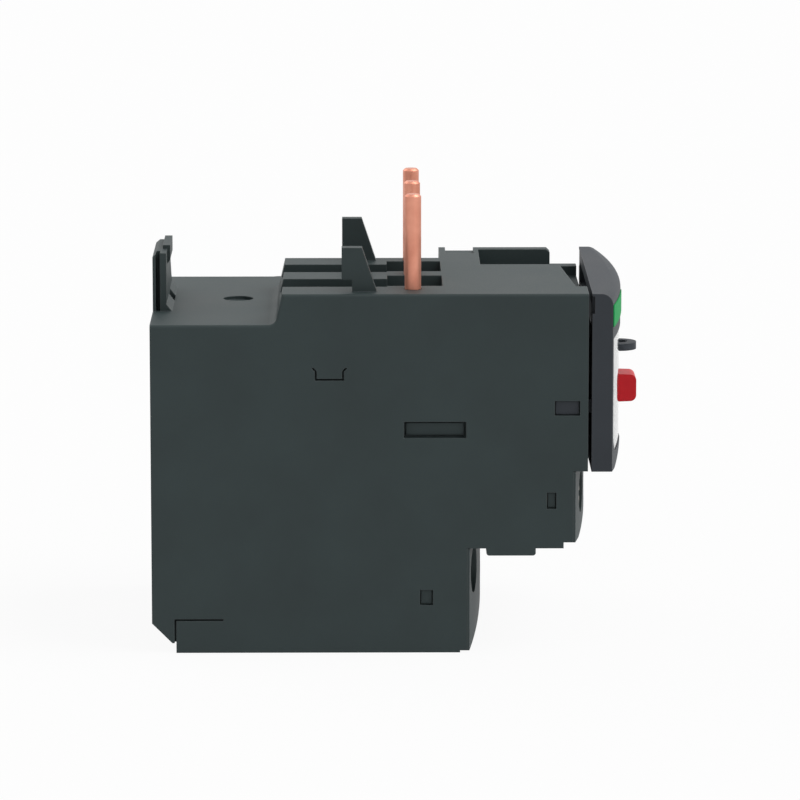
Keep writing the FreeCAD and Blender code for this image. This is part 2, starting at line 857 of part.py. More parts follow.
def hook():
    """The upright hook plate at the rear: its nose, its sloped far end and its wedges."""
    root_z = S.low_top_z - 1
    front, rear = S.hook_front_y, S.rear_y
    blank = prism("Y", [
        (S.hook_left_x, root_z),
        (S.hook_left_x, S.hook_top_z),
        (S.hook_slope_x, S.hook_top_z),
        (S.hook_right_x, S.low_top_z),
        (S.hook_right_x, root_z),
    ], (front, rear), "HookBlank")
    groove = box((S.hook_left_x - 1, S.hook_left_x + S.end_groove_depth),
                 (S.end_groove_y, S.end_groove_y + S.end_groove_width),
                 (S.low_top_z, S.hook_top_z + 1))
    bevel = prism("X", [
        (rear + 1, S.hook_top_z - S.hook_bevel - 1),
        (rear + 1, S.hook_top_z + 1),
        (rear - S.hook_bevel - 1, S.hook_top_z + 1),
    ], (S.hook_left_x - 1, S.hook_right_x + 1), "HookBevel")
    nose = prism("X", [
        (S.nose_rear_y, S.nose_low_z),
        (S.nose_rear_y, S.nose_top_z),
        (S.nose_front_y, S.nose_top_z),
        (S.nose_front_y, S.nose_low_z + S.hook_bevel),
        (front, S.nose_low_z),
    ], (S.nose_left_x, S.hook_slope_x), "HookNose")
    items = [cut("HookPlate", blank, groove, bevel), nose]
    far_end = S.hook_right_x - S.wedge_rise
    for span in ((S.hook_left_x, S.core_hole_left), (S.core_hole_right, far_end)):
        items.append(prism("X", [
            (front + S.wedge_run, root_z),
            (front - S.wedge_run, root_z),
            (front - S.wedge_run, S.low_top_z),
            (front, S.low_top_z + S.wedge_rise),
            (front + S.wedge_run, S.low_top_z + S.wedge_rise),
        ], span, "Wedge"))
    return items


def cable_entry(index):
    """Opening in the floor where a power cable comes up beside its screw."""
    left = pole_x(index) - S.screw_left + S.shank_radius + S.entry_gap
    return box((left, pole_x(index) + S.pole_right - S.entry_gap),
               (S.saddle_y + S.saddle_thickness, S.plate_y), (-1, S.pole_floor_z + 1))


def build_housing():
    """The moulded housing with its chambers, ridges, fins and hook."""
    ahead = S.front_y - 1
    cuts = top_relief() + side_marks()
    for index in range(3):
        cuts.append(pole_chamber(index))
        cuts.append(cable_entry(index))
    cuts.append(box((-INNER, INNER), (S.pole_rear_y, S.rear_y + 1),
                    (S.rear_opening_z, S.pole_ceiling_z), "RearOpening"))
    cuts.append(box((-INNER, INNER), (S.aux_front_y - 1, S.aux_chamber_rear_y),
                    (S.aux_chamber_floor_z, S.aux_chamber_ceiling_z), "AuxChamber"))
    cuts.append(box((-INNER, INNER), (ahead, S.mechanism_rear_y),
                    (S.mechanism_floor_z, S.mechanism_ceiling_z), "MechanismChamber"))
    sill = S.bar_low_z - S.fit_clearance
    cuts.append(box((pole_x(0), pole_x(2)),
                    (S.bar_front_y - S.slide_gap,
                     S.bar_front_y + 2 * S.bar_width + S.bar_gap + S.slide_gap),
                    (sill, S.pole_ceiling_z), "BarWindows"))
    cuts.append(box((S.lever_x - S.lever_hub_radius, S.lever_x + S.lever_hub_radius),
                    (S.mechanism_rear_y - 1, S.pole_front_y + 1),
                    (S.lever_low_z - S.slide_gap * 2 - S.pivot_radius, S.pole_ceiling_z),
                    "LeverWindow"))
    pin_top = S.pole_ceiling_z + S.lever_pin_root
    cuts.append(faceted_hole("Z", (S.lever_x, S.lever_y), (S.pole_ceiling_z - 1, pin_top),
                             S.pivot_radius))
    cuts.append(box((INNER - S.latch_arm - S.slide_gap, INNER + S.fit_clearance),
                    (S.power_front_y - 1, S.latch_d_rear_y + S.slide_gap),
                    (S.latch_d_low_z - S.slide_gap, S.latch_d_top_z + S.slide_gap)))
    for index in range(4):
        left = aux_x(index) - S.aux_plate_half + S.entry_gap
        right = aux_x(index) + S.aux_plate_half - S.entry_gap
        front = S.aux_saddle_y + S.aux_saddle_thickness
        cuts.append(box((left, right), (front, S.aux_plate_y),
                        (S.shroud_z - 1, S.aux_chamber_floor_z + 1)))
        arm = aux_arm_x(index)
        half = S.aux_arm_width / 2 + S.slide_gap
        cuts.append(box((arm - half, arm + half),
                        (S.aux_plate_y - S.slide_gap,
                         S.aux_plate_y + S.aux_plate_thickness + S.slide_gap),
                        (S.aux_chamber_ceiling_z - 1, S.mechanism_floor_z + 1)))
    shroud = prism("X", [
        (S.shroud_front_y, S.aux_floor_z + 1),
        (S.shroud_front_y, S.shroud_z, S.edge_radius),
        (S.shroud_rear_y, S.shroud_z, S.edge_radius),
        (S.shroud_rear_y, S.aux_floor_z + 1),
    ], (-HALF, HALF), "Shroud")
    core = cut("HousingCore", fuse("HousingSolid", housing_block(), shroud), *cuts)
    raised = [fin(S.fin_first_x), fin(S.fin_second_x)] + hook()
    add_node("main_housing", fuse("Housing", core, *raised))


def build_rear_cover():
    """The plate that closes the pole chambers from behind."""
    gap = S.fit_clearance * 2
    plate = box((-INNER + gap, INNER - gap), (S.pole_rear_y, S.rear_y),
                (S.rear_opening_z + gap, S.pole_ceiling_z - gap), "RearPlate")
    ribs = []
    for index in range(3):
        left = pole_x(index) - S.pole_left + gap
        ribs.append(box((left, left + S.cover_rib),
                        (S.pole_rear_y - S.cover_rib, S.pole_rear_y + gap),
                        (S.rear_opening_z + S.cover_rib, S.pole_ceiling_z - S.cover_rib)))
    add_node("rear_cover", fuse("RearCover", plate, *ribs))


# ------------------------------------------------------------------ front faces
def screw_x(index):
    """X of a power terminal's screw."""
    return pole_x(index) - S.screw_left


def aux_arm_x(index):
    """X of the upright arm of an auxiliary terminal plate."""
    centre = S.bridge_x if index > 1 else -S.bridge_x
    return centre - S.contact_reach if index % 2 == 0 else centre + S.contact_reach


def latch(side, arm_y, tab_y, z):
    """A latch arm inside a side wall, with a tab that fills the wall's window."""
    gap = S.fit_clearance * 2
    inner = INNER - S.latch_arm
    outer = INNER - gap
    tip = HALF - S.latch_sink
    if side < 0:
        return [box((-outer, -inner), arm_y, z),
                box((-tip, -inner), (tab_y[0] + gap, tab_y[1] - gap), z)]
    return [box((inner, outer), arm_y, z),
            box((inner, tip), (tab_y[0] + gap, tab_y[1] - gap), z)]


def build_power_block():
    """Front of the lower tier, with the three screw holes."""
    gap = S.fit_clearance * 2
    top = S.aux_floor_z - gap
    front = cut("PowerFront",
                bulged_plate(S.power_front_y, S.power_edge_y, S.power_low_z, top, HALF),
                under_round(S.power_edge_y, S.power_round_z, S.power_round,
                            S.power_low_z, "PowerUnder"))
    items = [front]
    plug_rear = S.power_front_y + S.plug_depth
    for index in range(3):
        left, right = pole_x(index) - S.pole_left + gap, pole_x(index) + S.pole_right - gap
        items.append(box((left, right), (S.power_front_y - gap, plug_rear),
                         (S.pole_floor_z + gap, S.terminal_ceiling_z - gap)))
    span = (S.latch_d_low_z + gap, S.latch_d_top_z - gap)
    for side in (-1, 1):
        items += latch(side, (S.power_front_y - gap, S.latch_d_rear_y - gap),
                       (S.latch_d_front_y, S.latch_d_rear_y), span)
    holes = [faceted_hole("Y", (screw_x(index), S.screw_z),
                          (S.power_front_y - 4, plug_rear + 1), S.screw_hole_radius,
                          FINE_SIDES) for index in range(3)]
    add_node("power_terminal_block", cut("PowerBlock", fuse("PowerSolid", *items), *holes))


def build_aux_block():
    """Front of the middle tier, with four screw holes and the walls between terminals."""
    gap = S.fit_clearance * 2
    front = cut("AuxFront",
                bulged_plate(S.aux_front_y, S.aux_edge_y, S.aux_low_z,
                             S.panel_floor_z - gap, HALF),
                under_round(S.aux_edge_y, S.aux_round_z, S.aux_round,
                            S.aux_low_z, "AuxUnder"))
    inside = (S.aux_chamber_floor_z + gap, S.aux_chamber_ceiling_z - gap)
    plug_rear = S.aux_saddle_y - gap
    items = [front, box((-INNER + gap, INNER - gap), (S.aux_front_y - gap, plug_rear), inside)]
    for index in range(3):
        middle = (aux_x(index) + aux_x(index + 1)) / 2
        items.append(box((middle - S.aux_rib / 2, middle + S.aux_rib / 2),
                         (S.aux_front_y, S.aux_plate_y + S.aux_plate_thickness), inside))
    span = (S.latch_c_low_z + gap, S.latch_c_top_z - gap)
    for side in (-1, 1):
        items += latch(side, (S.aux_front_y - gap, S.latch_c_rear_y - gap),
                       (S.latch_c_front_y, S.latch_c_rear_y), span)
    holes = [faceted_hole("Y", (aux_x(index), S.aux_screw_z),
                          (S.aux_front_y - 4, plug_rear + 1), S.aux_hole_radius,
                          FINE_SIDES) for index in range(4)]
    add_node("aux_terminal_block", cut("AuxBlock", fuse("AuxSolid", *items), *holes))


# ------------------------------------------------------------------------ front panel
FASCIA_EDGE_Y = S.bezel_edge_y + S.cover_sink + S.cover_thickness + S.cover_gap
COVER_EDGE_Y = S.bezel_edge_y + S.cover_sink
RECESS_HALF = HALF - S.bezel_wall


def recess_outline(gap, right_x, right_round):
    """The front recess, or a plate that lies in it with a gap all round."""
    left = -RECESS_HALF + gap
    low, top = S.recess_low_z + gap, S.recess_top_z - gap
    return [(left, top), (left, low, S.recess_round), (right_x, low, right_round),
            (right_x, top)]


def panel_openings(span, gap, swing):
    """Openings for the loop and the controls in a plate of the front panel.

    swing is the extra room on the left that a plate turning about the right edge needs.
    """
    half_width, half_height = S.stop_width / 2 + gap, S.stop_height / 2 + gap
    loop_half = S.loop_thickness / 2 + gap
    return [
        box((S.stop_x - half_width - swing, S.stop_x + half_width), span,
            (S.stop_z - half_height, S.stop_z + half_height)),
        box((S.loop_x - S.loop_radius - gap - swing, S.loop_x + S.loop_radius + gap), span,
            (S.loop_z - loop_half, S.loop_z + loop_half)),
        faceted_hole("Y", (S.reset_x, S.reset_z), span, S.reset_radius + gap, FINE_SIDES),
    ]


def build_bezel():
    """The front frame with its recess, seal loop and latch arms."""
    plate = bulged_plate(S.bezel_rear_y, S.bezel_edge_y, S.bezel_low_z, S.bezel_top_z, HALF)
    round_edges(plate, S.bezel_top_round,
                lambda middle: abs(middle.z - S.bezel_top_z.value) < 1e-6
                and middle.y < S.bezel_edge_y.value)
    through = (S.stop_tip_y, S.bezel_rear_y + 1)
    gap = S.button_clearance
    half_width, half_height = S.stop_width / 2 + gap, S.stop_height / 2 + gap
    window = box((S.window_x - S.window_width / 2, S.window_x + S.window_width / 2), through,
                 (S.window_z - S.window_height / 2, S.window_z + S.window_height / 2))
    pin_radius = S.cover_pin_radius + S.fit_clearance
    cuts = [
        under_round(S.bezel_edge_y, S.bezel_round_z, S.bezel_round, S.bezel_low_z, "BezelUnder"),
        prism("Y", recess_outline(0, RECESS_HALF, S.recess_round),
              (S.stop_tip_y, S.recess_floor_y), "Recess"),
        box((S.stop_x - half_width, S.stop_x + half_width), through,
            (S.stop_z - half_height, S.stop_z + half_height)),
        faceted_hole("Y", (S.reset_x, S.reset_z), through, S.reset_radius + gap),
        faceted_hole("Y", (S.test_x, S.test_z), through, S.test_radius + gap),
        faceted_hole("Y", (S.dial_x, S.dial_z), through, S.dial_shaft_radius + gap),
        window,
        faceted_hole("Z", (S.cover_axis_x, S.cover_axis_y),
                     (S.recess_low_z - S.cover_pin_length - gap,
                      S.recess_top_z + S.cover_pin_length + gap), pin_radius),
        box((-S.crown_half, S.crown_half), (S.bezel_rear_y - S.crown_depth, S.bezel_rear_y + 1),
            (S.crown_low_z, S.bezel_top_z - S.wall)),
    ]
    for side in (-1, 1):
        cuts.append(box(side_span(side, S.nick_depth),
                        (S.bezel_rear_y - S.nick_width, S.bezel_rear_y + 1),
                        (S.nick_low_z, S.nick_top_z)))
    body = cut("BezelBody", plate, *cuts)
    loop_y = S.loop_tip_y + S.loop_radius
    loop_span = (S.loop_z - S.loop_thickness / 2, S.loop_z + S.loop_thickness / 2)
    ring = fuse("LoopSolid",
                rod("Z", (S.loop_x, loop_y), loop_span, S.loop_radius),
                box((S.loop_x - S.loop_radius, S.loop_x + S.loop_radius),
                    (loop_y, S.recess_floor_y + S.fit_clearance), loop_span))
    loop = cut("Loop", ring,
               faceted_hole("Z", (S.loop_x, loop_y), (S.loop_z - 1, S.loop_z + 1),
                            S.loop_hole_radius, FINE_SIDES))
    arms = []
    inset = S.fit_clearance * 2
    span = (S.latch_b_low_z + inset, S.latch_b_top_z - inset)
    for side in (-1, 1):
        arms += latch(side, (S.bezel_rear_y - inset, S.latch_b_rear_y - inset),
                      (S.latch_b_front_y, S.latch_b_rear_y), span)
    add_node("front_bezel", fuse("Bezel", body, loop, *arms))


def build_fascia():
    """The pale panel behind the clear cover."""
    gap = S.fit_clearance
    plate = bulged_plate(S.recess_floor_y, FASCIA_EDGE_Y, S.recess_low_z, S.recess_top_z,
                         RECESS_HALF - gap)
    outline = prism("Y", recess_outline(gap, RECESS_HALF - gap, S.recess_round),
                    (S.stop_tip_y, S.recess_floor_y), "FasciaOutline")
    through = (S.stop_tip_y, S.recess_floor_y + 1)
    clear = S.button_clearance
    tools = panel_openings(through, clear, 0)
    tools.append(faceted_hole("Y", (S.dial_x, S.dial_z), through, S.dial_radius + clear,
                              FINE_SIDES))
    tools.append(faceted_hole("Y", (S.test_x, S.test_z), through, S.test_radius + clear))
    tools.append(box((S.window_x - S.window_width / 2, S.window_x + S.window_width / 2), through,
                     (S.window_z - S.window_height / 2, S.window_z + S.window_height / 2)))
    channel = S.cover_barrel_radius + S.cover_edge_gap
    tools.append(rod("Z", (S.cover_axis_x, S.cover_axis_y),
                     (S.recess_low_z - 1, S.recess_top_z + 1), channel))
    add_node("fascia_plate", cut("Fascia", common("FasciaForm", plate, outline), *tools))


def build_inlay():
    """The bare green name plate let into the left of the bezel's crown."""
    plate = bulged_plate(S.bezel_edge_y, S.bezel_edge_y - S.inlay_proud,
                         S.inlay_low_z, S.inlay_top_z, HALF)
    keep = box((S.inlay_left_x, S.inlay_right_x), (S.stop_tip_y, S.bezel_edge_y),
               (S.inlay_low_z, S.inlay_top_z))
    body = bulged_plate(S.bezel_rear_y, S.bezel_edge_y, S.bezel_low_z, S.bezel_top_z, HALF)
    add_node("name_inlay", cut("Inlay", common("InlayForm", plate, keep), body))


def build_cover():
    """The clear cover, bowed like the panel, hinged on two pins at its right edge."""
    gap = S.cover_edge_gap
    outer = bulged_plate(S.recess_floor_y, COVER_EDGE_Y, S.recess_low_z, S.recess_top_z,
                         RECESS_HALF - gap)
    inner = bulged_plate(S.recess_floor_y + 1, COVER_EDGE_Y + S.cover_thickness,
                         S.recess_low_z - 1, S.recess_top_z + 1, HALF)
    outline = prism("Y", recess_outline(gap, S.cover_axis_x, S.cover_corner),
                    (S.stop_tip_y, S.recess_floor_y), "CoverOutline")
    shell = cut("CoverShell", common("CoverForm", outer, outline), inner)
    through = (S.stop_tip_y, S.recess_floor_y)
    opened = cut("CoverOpened", shell,
                 *panel_openings(through, S.button_clearance * 2, S.swing_clearance))
    height = (S.recess_low_z + gap + S.recess_round, S.recess_top_z - gap)
    centre = (S.cover_axis_x, S.cover_axis_y)
    barrel = faceted_rod("Z", centre, height, S.cover_barrel_radius)
    pins = rod("Z", centre, (S.recess_low_z - S.cover_pin_length,
                             S.recess_top_z + S.cover_pin_length), S.cover_pin_radius)
    add_node("clear_cover", fuse("Cover", opened, barrel, pins))


# --------------------------------------------------------------------------- controls
FLANGE_FRONT_Y = S.bezel_rear_y + S.fit_clearance
FLANGE_REAR_Y = FLANGE_FRONT_Y + S.flange_thickness
STEM_END_Y = S.guide_y + S.stem_seat
SPRING_SIDES = 8
CAM_ARCS = 6
CAM_OVERRUN = math.radians(5)
SPRING_TURNS = 4


def square(x, z, half, y, name="Square"):
    """A square bar along Y, centred on a spot of the panel."""
    return box((x - half, x + half), y, (z - half, z + half), name)


def stem(x, z, half):
    """The square guide stem behind a button's flange."""
    return square(x, z, half, (FLANGE_REAR_Y - S.fit_clearance, STEM_END_Y), "Stem")


def build_stop_button():
    """The red button: a rounded block, a flange and a stem."""
    half_width, half_height = S.stop_width / 2, S.stop_height / 2
    tip_half = half_height - S.stop_taper
    head = prism("X", [
        (S.stop_tip_y, S.stop_z - tip_half, S.stop_round),
        (FLANGE_FRONT_Y, S.stop_z - half_height),
        (FLANGE_FRONT_Y, S.stop_z + half_height),
        (S.stop_tip_y, S.stop_z + tip_half, S.stop_round),
    ], (S.stop_x - half_width, S.stop_x + half_width), "StopHead")
    flange = box((S.stop_x - half_width - S.flange, S.stop_x + half_width + S.flange),
                 (FLANGE_FRONT_Y, FLANGE_REAR_Y),
                 (S.stop_z - half_height - S.flange, S.stop_z + half_height + S.flange))
    add_node("stop_button", fuse("StopButton", head, flange,
                                 stem(S.stop_x, S.stop_z, S.stem_half)))


def build_reset():
    """The reset knob, which is pushed and turned, and the stem that carries it."""
    gap = S.fit_clearance
    spigot_tip = S.reset_tip_y + S.flange_thickness
    knob = cut("ResetKnob",
               rod("Y", (S.reset_x, S.reset_z), (S.reset_tip_y, FLANGE_FRONT_Y - gap),
                   S.reset_radius),
               faceted_hole("Y", (S.reset_x, S.reset_z),
                            (spigot_tip - gap, FLANGE_FRONT_Y), S.spigot_radius + gap),
               box((S.reset_x - S.reset_radius - 1, S.reset_x + S.reset_radius + 1),
                   (S.reset_tip_y - 1, S.reset_tip_y + S.slot_depth / 2),
                   (S.reset_z - S.slot_width / 2, S.reset_z + S.slot_width / 2)))
    add_node("reset_knob", knob)
    carrier = fuse("ResetStem",
                   faceted_rod("Y", (S.reset_x, S.reset_z),
                               (spigot_tip, FLANGE_FRONT_Y + gap), S.spigot_radius),
                   square(S.reset_x, S.reset_z, S.reset_radius + S.flange,
                          (FLANGE_FRONT_Y, FLANGE_REAR_Y)),
                   stem(S.reset_x, S.reset_z, S.stem_half))
    add_node("reset_stem", carrier)


def build_test():
    """The small test plunger."""
    plunger = fuse("TestPlunger",
                   faceted_rod("Y", (S.test_x, S.test_z),
                               (S.test_tip_y, FLANGE_FRONT_Y + S.fit_clearance),
                               S.test_radius, FINE_SIDES),
                   square(S.test_x, S.test_z, S.test_radius + S.flange,
                          (FLANGE_FRONT_Y, FLANGE_REAR_Y)),
                   stem(S.test_x, S.test_z, S.test_stem_half))
    add_node("test_plunger", plunger)


def spring_shape(inner, wire, length, turns):
    """A coil spring of square wire that stands on the XY plane, in straight steps."""
    steps = SPRING_SIDES * turns
    rise = (length - wire) / steps
    rings = []
    for radius, lift in ((inner, 0), (inner + wire, 0), (inner + wire, wire), (inner, wire)):
        ring = []
        for step in range(steps + 1):
            angle = 2 * math.pi * step / SPRING_SIDES
            ring.append(Vector(radius * math.cos(angle), radius * math.sin(angle),
                               rise * step + lift))
        rings.append(ring)
    faces = [Part.Face(Part.makePolygon([ring[end] for ring in rings] + [rings[0][end]]))
             for end in (0, -1)]
    for first, second in zip(rings, rings[1:] + rings[:1]):
        for step in range(steps):
            a, b = first[step], first[step + 1]
            c, d = second[step + 1], second[step]
            faces.append(Part.Face(Part.makePolygon([a, b, c, a])))
            faces.append(Part.Face(Part.makePolygon([a, c, d, a])))
    shell = Part.Shell(faces)
    shell.sewShape()
    coil = Part.Solid(shell)
    coil.fix(1e-6, 1e-6, 1e-6)
    return coil


def build_spring(label, x, z, turns):
    """The coil spring between a button's flange and the guide wall."""
    gap = S.fit_clearance.value
    inner = S.stem_half.value * math.sqrt(2) + 4 * gap
    length = S.guide_y.value - FLANGE_REAR_Y.value - 2 * gap
    item = DOC.addObject("Part::Feature", label)
    item.Shape = spring_shape(inner, S.spring_wire.value, length, turns)
    place(item, x, FLANGE_REAR_Y + S.fit_clearance, z, ROTATIONS["Y"])
    add_node(label, item)


def build_dial():
    """The setting dial with its slot, shaft and spiral cam."""
    radius = S.dial_radius
    rear = S.recess_floor_y - S.fit_clearance * 2
    disc = revolved(S.dial_x, S.dial_z, [
        (0, S.dial_tip_y),
        (radius - S.dial_rim, S.dial_tip_y),
        (radius, S.dial_tip_y + S.dial_rim / 4),
        (radius, rear),
        (0, rear),
    ], "DialDisc")
    shaft = faceted_rod("Y", (S.dial_x, S.dial_z), (rear - 1, STEM_END_Y),
                        S.dial_shaft_radius)
    blade = box((S.dial_x - S.slot_width / 2, S.dial_x + S.slot_width / 2),
                (S.dial_tip_y - 1, S.dial_tip_y + S.slot_depth / 2),
                (S.dial_z - S.dial_rim * 2, S.dial_z + S.dial_rim * 2))
    add_node("setting_dial", cut("Dial", fuse("DialSolid", disc, shaft), blade))


def spiral_cam_shape():
    """A cam whose radius falls evenly with the angle, closed by a flank at the bottom."""
    sweep = math.radians(S.dial_sweep.value) / 2 + CAM_OVERRUN
    slope = S.cam_rise.value / math.radians(S.dial_sweep.value)
    spots = []
    for step in range(2 * CAM_ARCS + 1):
        angle = sweep * (step / CAM_ARCS - 1)
        radius = S.cam_radius.value - slope * angle
        spots.append(Vector(radius * math.sin(angle), 0, radius * math.cos(angle)))
    arcs = [Part.Arc(*spots[step:step + 3]).toShape() for step in range(0, 2 * CAM_ARCS, 2)]
    wire = Part.Wire(arcs + [Part.makeLine(spots[-1], spots[0])])
    cam = Part.Face(wire).extrude(Vector(0, S.cam_thickness.value, 0))
    rim = []
    for step in range(COARSE_SIDES + 1):
        angle = 2 * math.pi * step / COARSE_SIDES
        rim.append(Vector(math.cos(angle), 0, math.sin(angle)) * S.dial_shaft_radius.value)
    bore = Part.Face(Part.makePolygon(rim)).extrude(Vector(0, S.cam_thickness.value, 0))
    return cam.cut(bore)


def build_cam():
    """The spiral cam on the dial's shaft."""
    item = DOC.addObject("Part::Feature", "SettingCam")
    item.Shape = spiral_cam_shape()
    place(item, S.dial_x, S.cam_y, S.dial_z)
    add_node("setting_cam", item)


def build_follower():
    """The flat follower that rides on the cam, with its calibration screw."""
    low = S.dial_z + S.cam_radius + S.fit_clearance
    half = S.follower_width / 2
    plate = box((S.dial_x - half, S.dial_x + half),
                (S.cam_y + S.fit_clearance, S.cam_y + S.cam_thickness - S.fit_clearance),
                (low, S.follower_top_z))
    screw_z = S.follower_top_z - half
    hole = faceted_rod("Y", (S.dial_x, screw_z),
                       (S.cam_y - 1, S.cam_y + S.cam_thickness + 1), S.calibration_radius)
    add_node("cam_follower", cut("Follower", plate, hole))
    shank = faceted_rod("Y", (S.dial_x, screw_z),
                        (S.cam_y - S.fit_clearance, S.guide_y + S.guide_thickness + 1),
                        S.calibration_radius)
    head = square(S.dial_x, screw_z, S.calibration_head_half,
                  (S.cam_y - S.calibration_radius, S.cam_y), "CalibrationHead")
    blade = box((S.dial_x - half, S.dial_x + half),
                (S.cam_y - S.calibration_radius - 1, S.cam_y - S.calibration_radius / 2),
                (screw_z - S.slot_width / 4, screw_z + S.slot_width / 4))
    add_node("calibration_screw", cut("Calibration", fuse("CalibrationRaw", shank, head), blade))


def build_frame():
    """The inner frame: floor, guide wall, side cheeks, follower guides and rocker pin."""
    gap = S.fit_clearance * 2
    half = INNER - S.slide_gap
    floor_top = S.mechanism_floor_z + S.frame_plate
    floor = box((-half, half), (S.frame_front_y, S.mechanism_rear_y - gap),
                (S.mechanism_floor_z, floor_top))
    wall = box((-half, half), (S.guide_y, S.guide_y + S.guide_thickness),
               (S.mechanism_floor_z, S.mechanism_ceiling_z - gap))
    items = [floor, wall]
    for left in (-half, half - S.frame_floor):
        items.append(box((left, left + S.frame_floor),
                         (S.guide_y, S.mechanism_rear_y - gap),
                         (S.mechanism_floor_z, S.cheek_top_z)))
    rail = S.follower_width / 2 + gap / 2
    for left in (S.dial_x - rail - S.frame_floor, S.dial_x + rail):
        items.append(box((left, left + S.frame_floor), (S.cam_y, S.guide_y + gap),
                         (S.rail_low_z, S.follower_top_z)))
    pin_end = S.rocker_front_y + S.rocker_width + gap
    items.append(faceted_rod("Y", (0, S.rocker_z), (S.guide_y + gap, pin_end),
                             S.pivot_radius))
    through = (S.guide_y - 1, S.guide_y + S.guide_thickness + 1)
    clear = S.fit_clearance * 2
    slot_half = S.calibration_radius + S.slide_gap
    screw_z = S.follower_top_z - S.follower_width / 2
    holes = [
        square(S.stop_x, S.stop_z, S.stem_half + clear, through),
        square(S.reset_x, S.reset_z, S.stem_half + clear, through),
        square(S.test_x, S.test_z, S.test_stem_half + clear, through),
        faceted_hole("Y", (S.dial_x, S.dial_z), through, S.dial_shaft_radius + clear),
        box((S.dial_x - slot_half, S.dial_x + slot_half), through,
            (screw_z - slot_half - S.cam_rise, screw_z + slot_half + S.cam_rise)),
        box((S.flag_left - S.flag_swing, S.flag_right + S.slide_gap * 2), through,
            (S.flag_low_z - S.slide_gap * 2, S.flag_low_z + S.flag_height + S.slide_gap * 2)),
    ]
    plate_y = (S.aux_plate_y - S.slide_gap,
               S.aux_plate_y + S.aux_plate_thickness + S.slide_gap)
    for index in range(4):
        arm = aux_arm_x(index)
        half_slot = S.aux_arm_width / 2 + S.slide_gap
        holes.append(box((arm - half_slot, arm + half_slot), plate_y,
                         (S.mechanism_floor_z - 1, floor_top + 1)))
    add_node("mechanism_frame", cut("Frame", fuse("FrameSolid", *items), *holes))


# -------------------------------------------------------------------------- trip train
def build_rocker():
    """The contact rocker: hub, two arms, a paddle for the lever and a flag arm."""
    front, rear = S.rocker_front_y, S.rocker_front_y + S.rocker_width
    half_arm = S.rocker_arm_height / 2
    hub = faceted_rod("Y", (0, S.rocker_z), (front, rear), S.rocker_hub_radius)
    beam = box((-S.rocker_arm, S.rocker_arm), (front, rear),
               (S.rocker_z - half_arm, S.rocker_z + half_arm))
    post = box((-S.paddle_left, S.paddle_right), (front, rear), (S.rocker_z, S.paddle_top_z))
    paddle = box((-S.paddle_left, S.paddle_right), (front, S.paddle_rear_y),
                 (S.lever_low_z - S.slide_gap, S.paddle_top_z))
    bore = rod("Y", (0, S.rocker_z), (front - 1, rear + 1), S.pivot_radius + S.fit_clearance)
    add_node("contact_rocker", cut("Rocker", fuse("RockerSolid", hub, beam, post, paddle), bore))
    arm_half = S.flag_height / 2 - S.slide_gap
    middle_z = S.flag_low_z + S.flag_height / 2
    flag = fuse("Flag",
                box((S.flag_left, S.flag_right), (S.flag_front_y, S.flag_front_y + 1),
                    (S.flag_low_z, S.flag_low_z + S.flag_height)),
                box((-S.paddle_left, S.paddle_right), (S.flag_front_y, front),
                    (middle_z - arm_half, middle_z + arm_half)))
    add_node("trip_flag", flag)
    top = S.rocker_z + half_arm
    for label, centre in (("nc_bridge", -S.bridge_x), ("no_bridge", S.bridge_x)):
        bar = box((centre - S.bridge_half, centre + S.bridge_half), (front, rear),
                  (top, top + S.bridge_thickness))
        add_node(label, bar)


def build_lever():
    """The trip lever on its pin, and the compensating strip that it carries."""
    low, top = S.lever_low_z, S.lever_low_z + S.lever_height
    half = S.lever_width / 2
    hub = faceted_rod("Z", (S.lever_x, S.lever_y), (low, top),
                      S.lever_hub_radius - S.slide_gap)
    arm = box((S.lever_x - half, S.lever_x + half), (S.lever_cross_y, S.lever_y), (low, top))
    cross = box((S.lever_tip_x, S.lever_x + half),
                (S.lever_cross_y, S.lever_cross_y + S.lever_width), (low, top))
    bore = rod("Z", (S.lever_x, S.lever_y), (low - 1, top + 1),
               S.pivot_radius + S.fit_clearance)
    add_node("trip_lever", cut("Lever", fuse("LeverSolid", hub, arm, cross), bore))
    hub_edge = S.lever_y + S.lever_hub_radius - S.slide_gap
    strip = box((S.lever_x - half, S.lever_x - half + S.strip_thickness),
                (hub_edge - S.slide_gap * 2, S.lever_rear_y), (low, top))
    add_node("compensating_strip", cut("Compensator", strip, faceted_rod(
        "Z", (S.lever_x, S.lever_y), (low - 1, top + 1), S.lever_hub_radius - S.slide_gap)))
    shaft = faceted_rod("Z", (S.lever_x, S.lever_y),
                (low - S.slide_gap, S.pole_ceiling_z + S.lever_pin_root), S.pivot_radius)
    spread = S.lever_head_half
    head = box((S.lever_x - spread, S.lever_x + spread),
               (S.lever_y - spread, S.lever_y + spread),
               (low - S.slide_gap - S.pivot_radius, low - S.slide_gap), "LeverPinHead")
    add_node("lever_pin", fuse("LeverPin", shaft, head))


def strip_x(index):
    """X of a pole's bimetal strip."""
    return pole_x(index) + S.strip_right


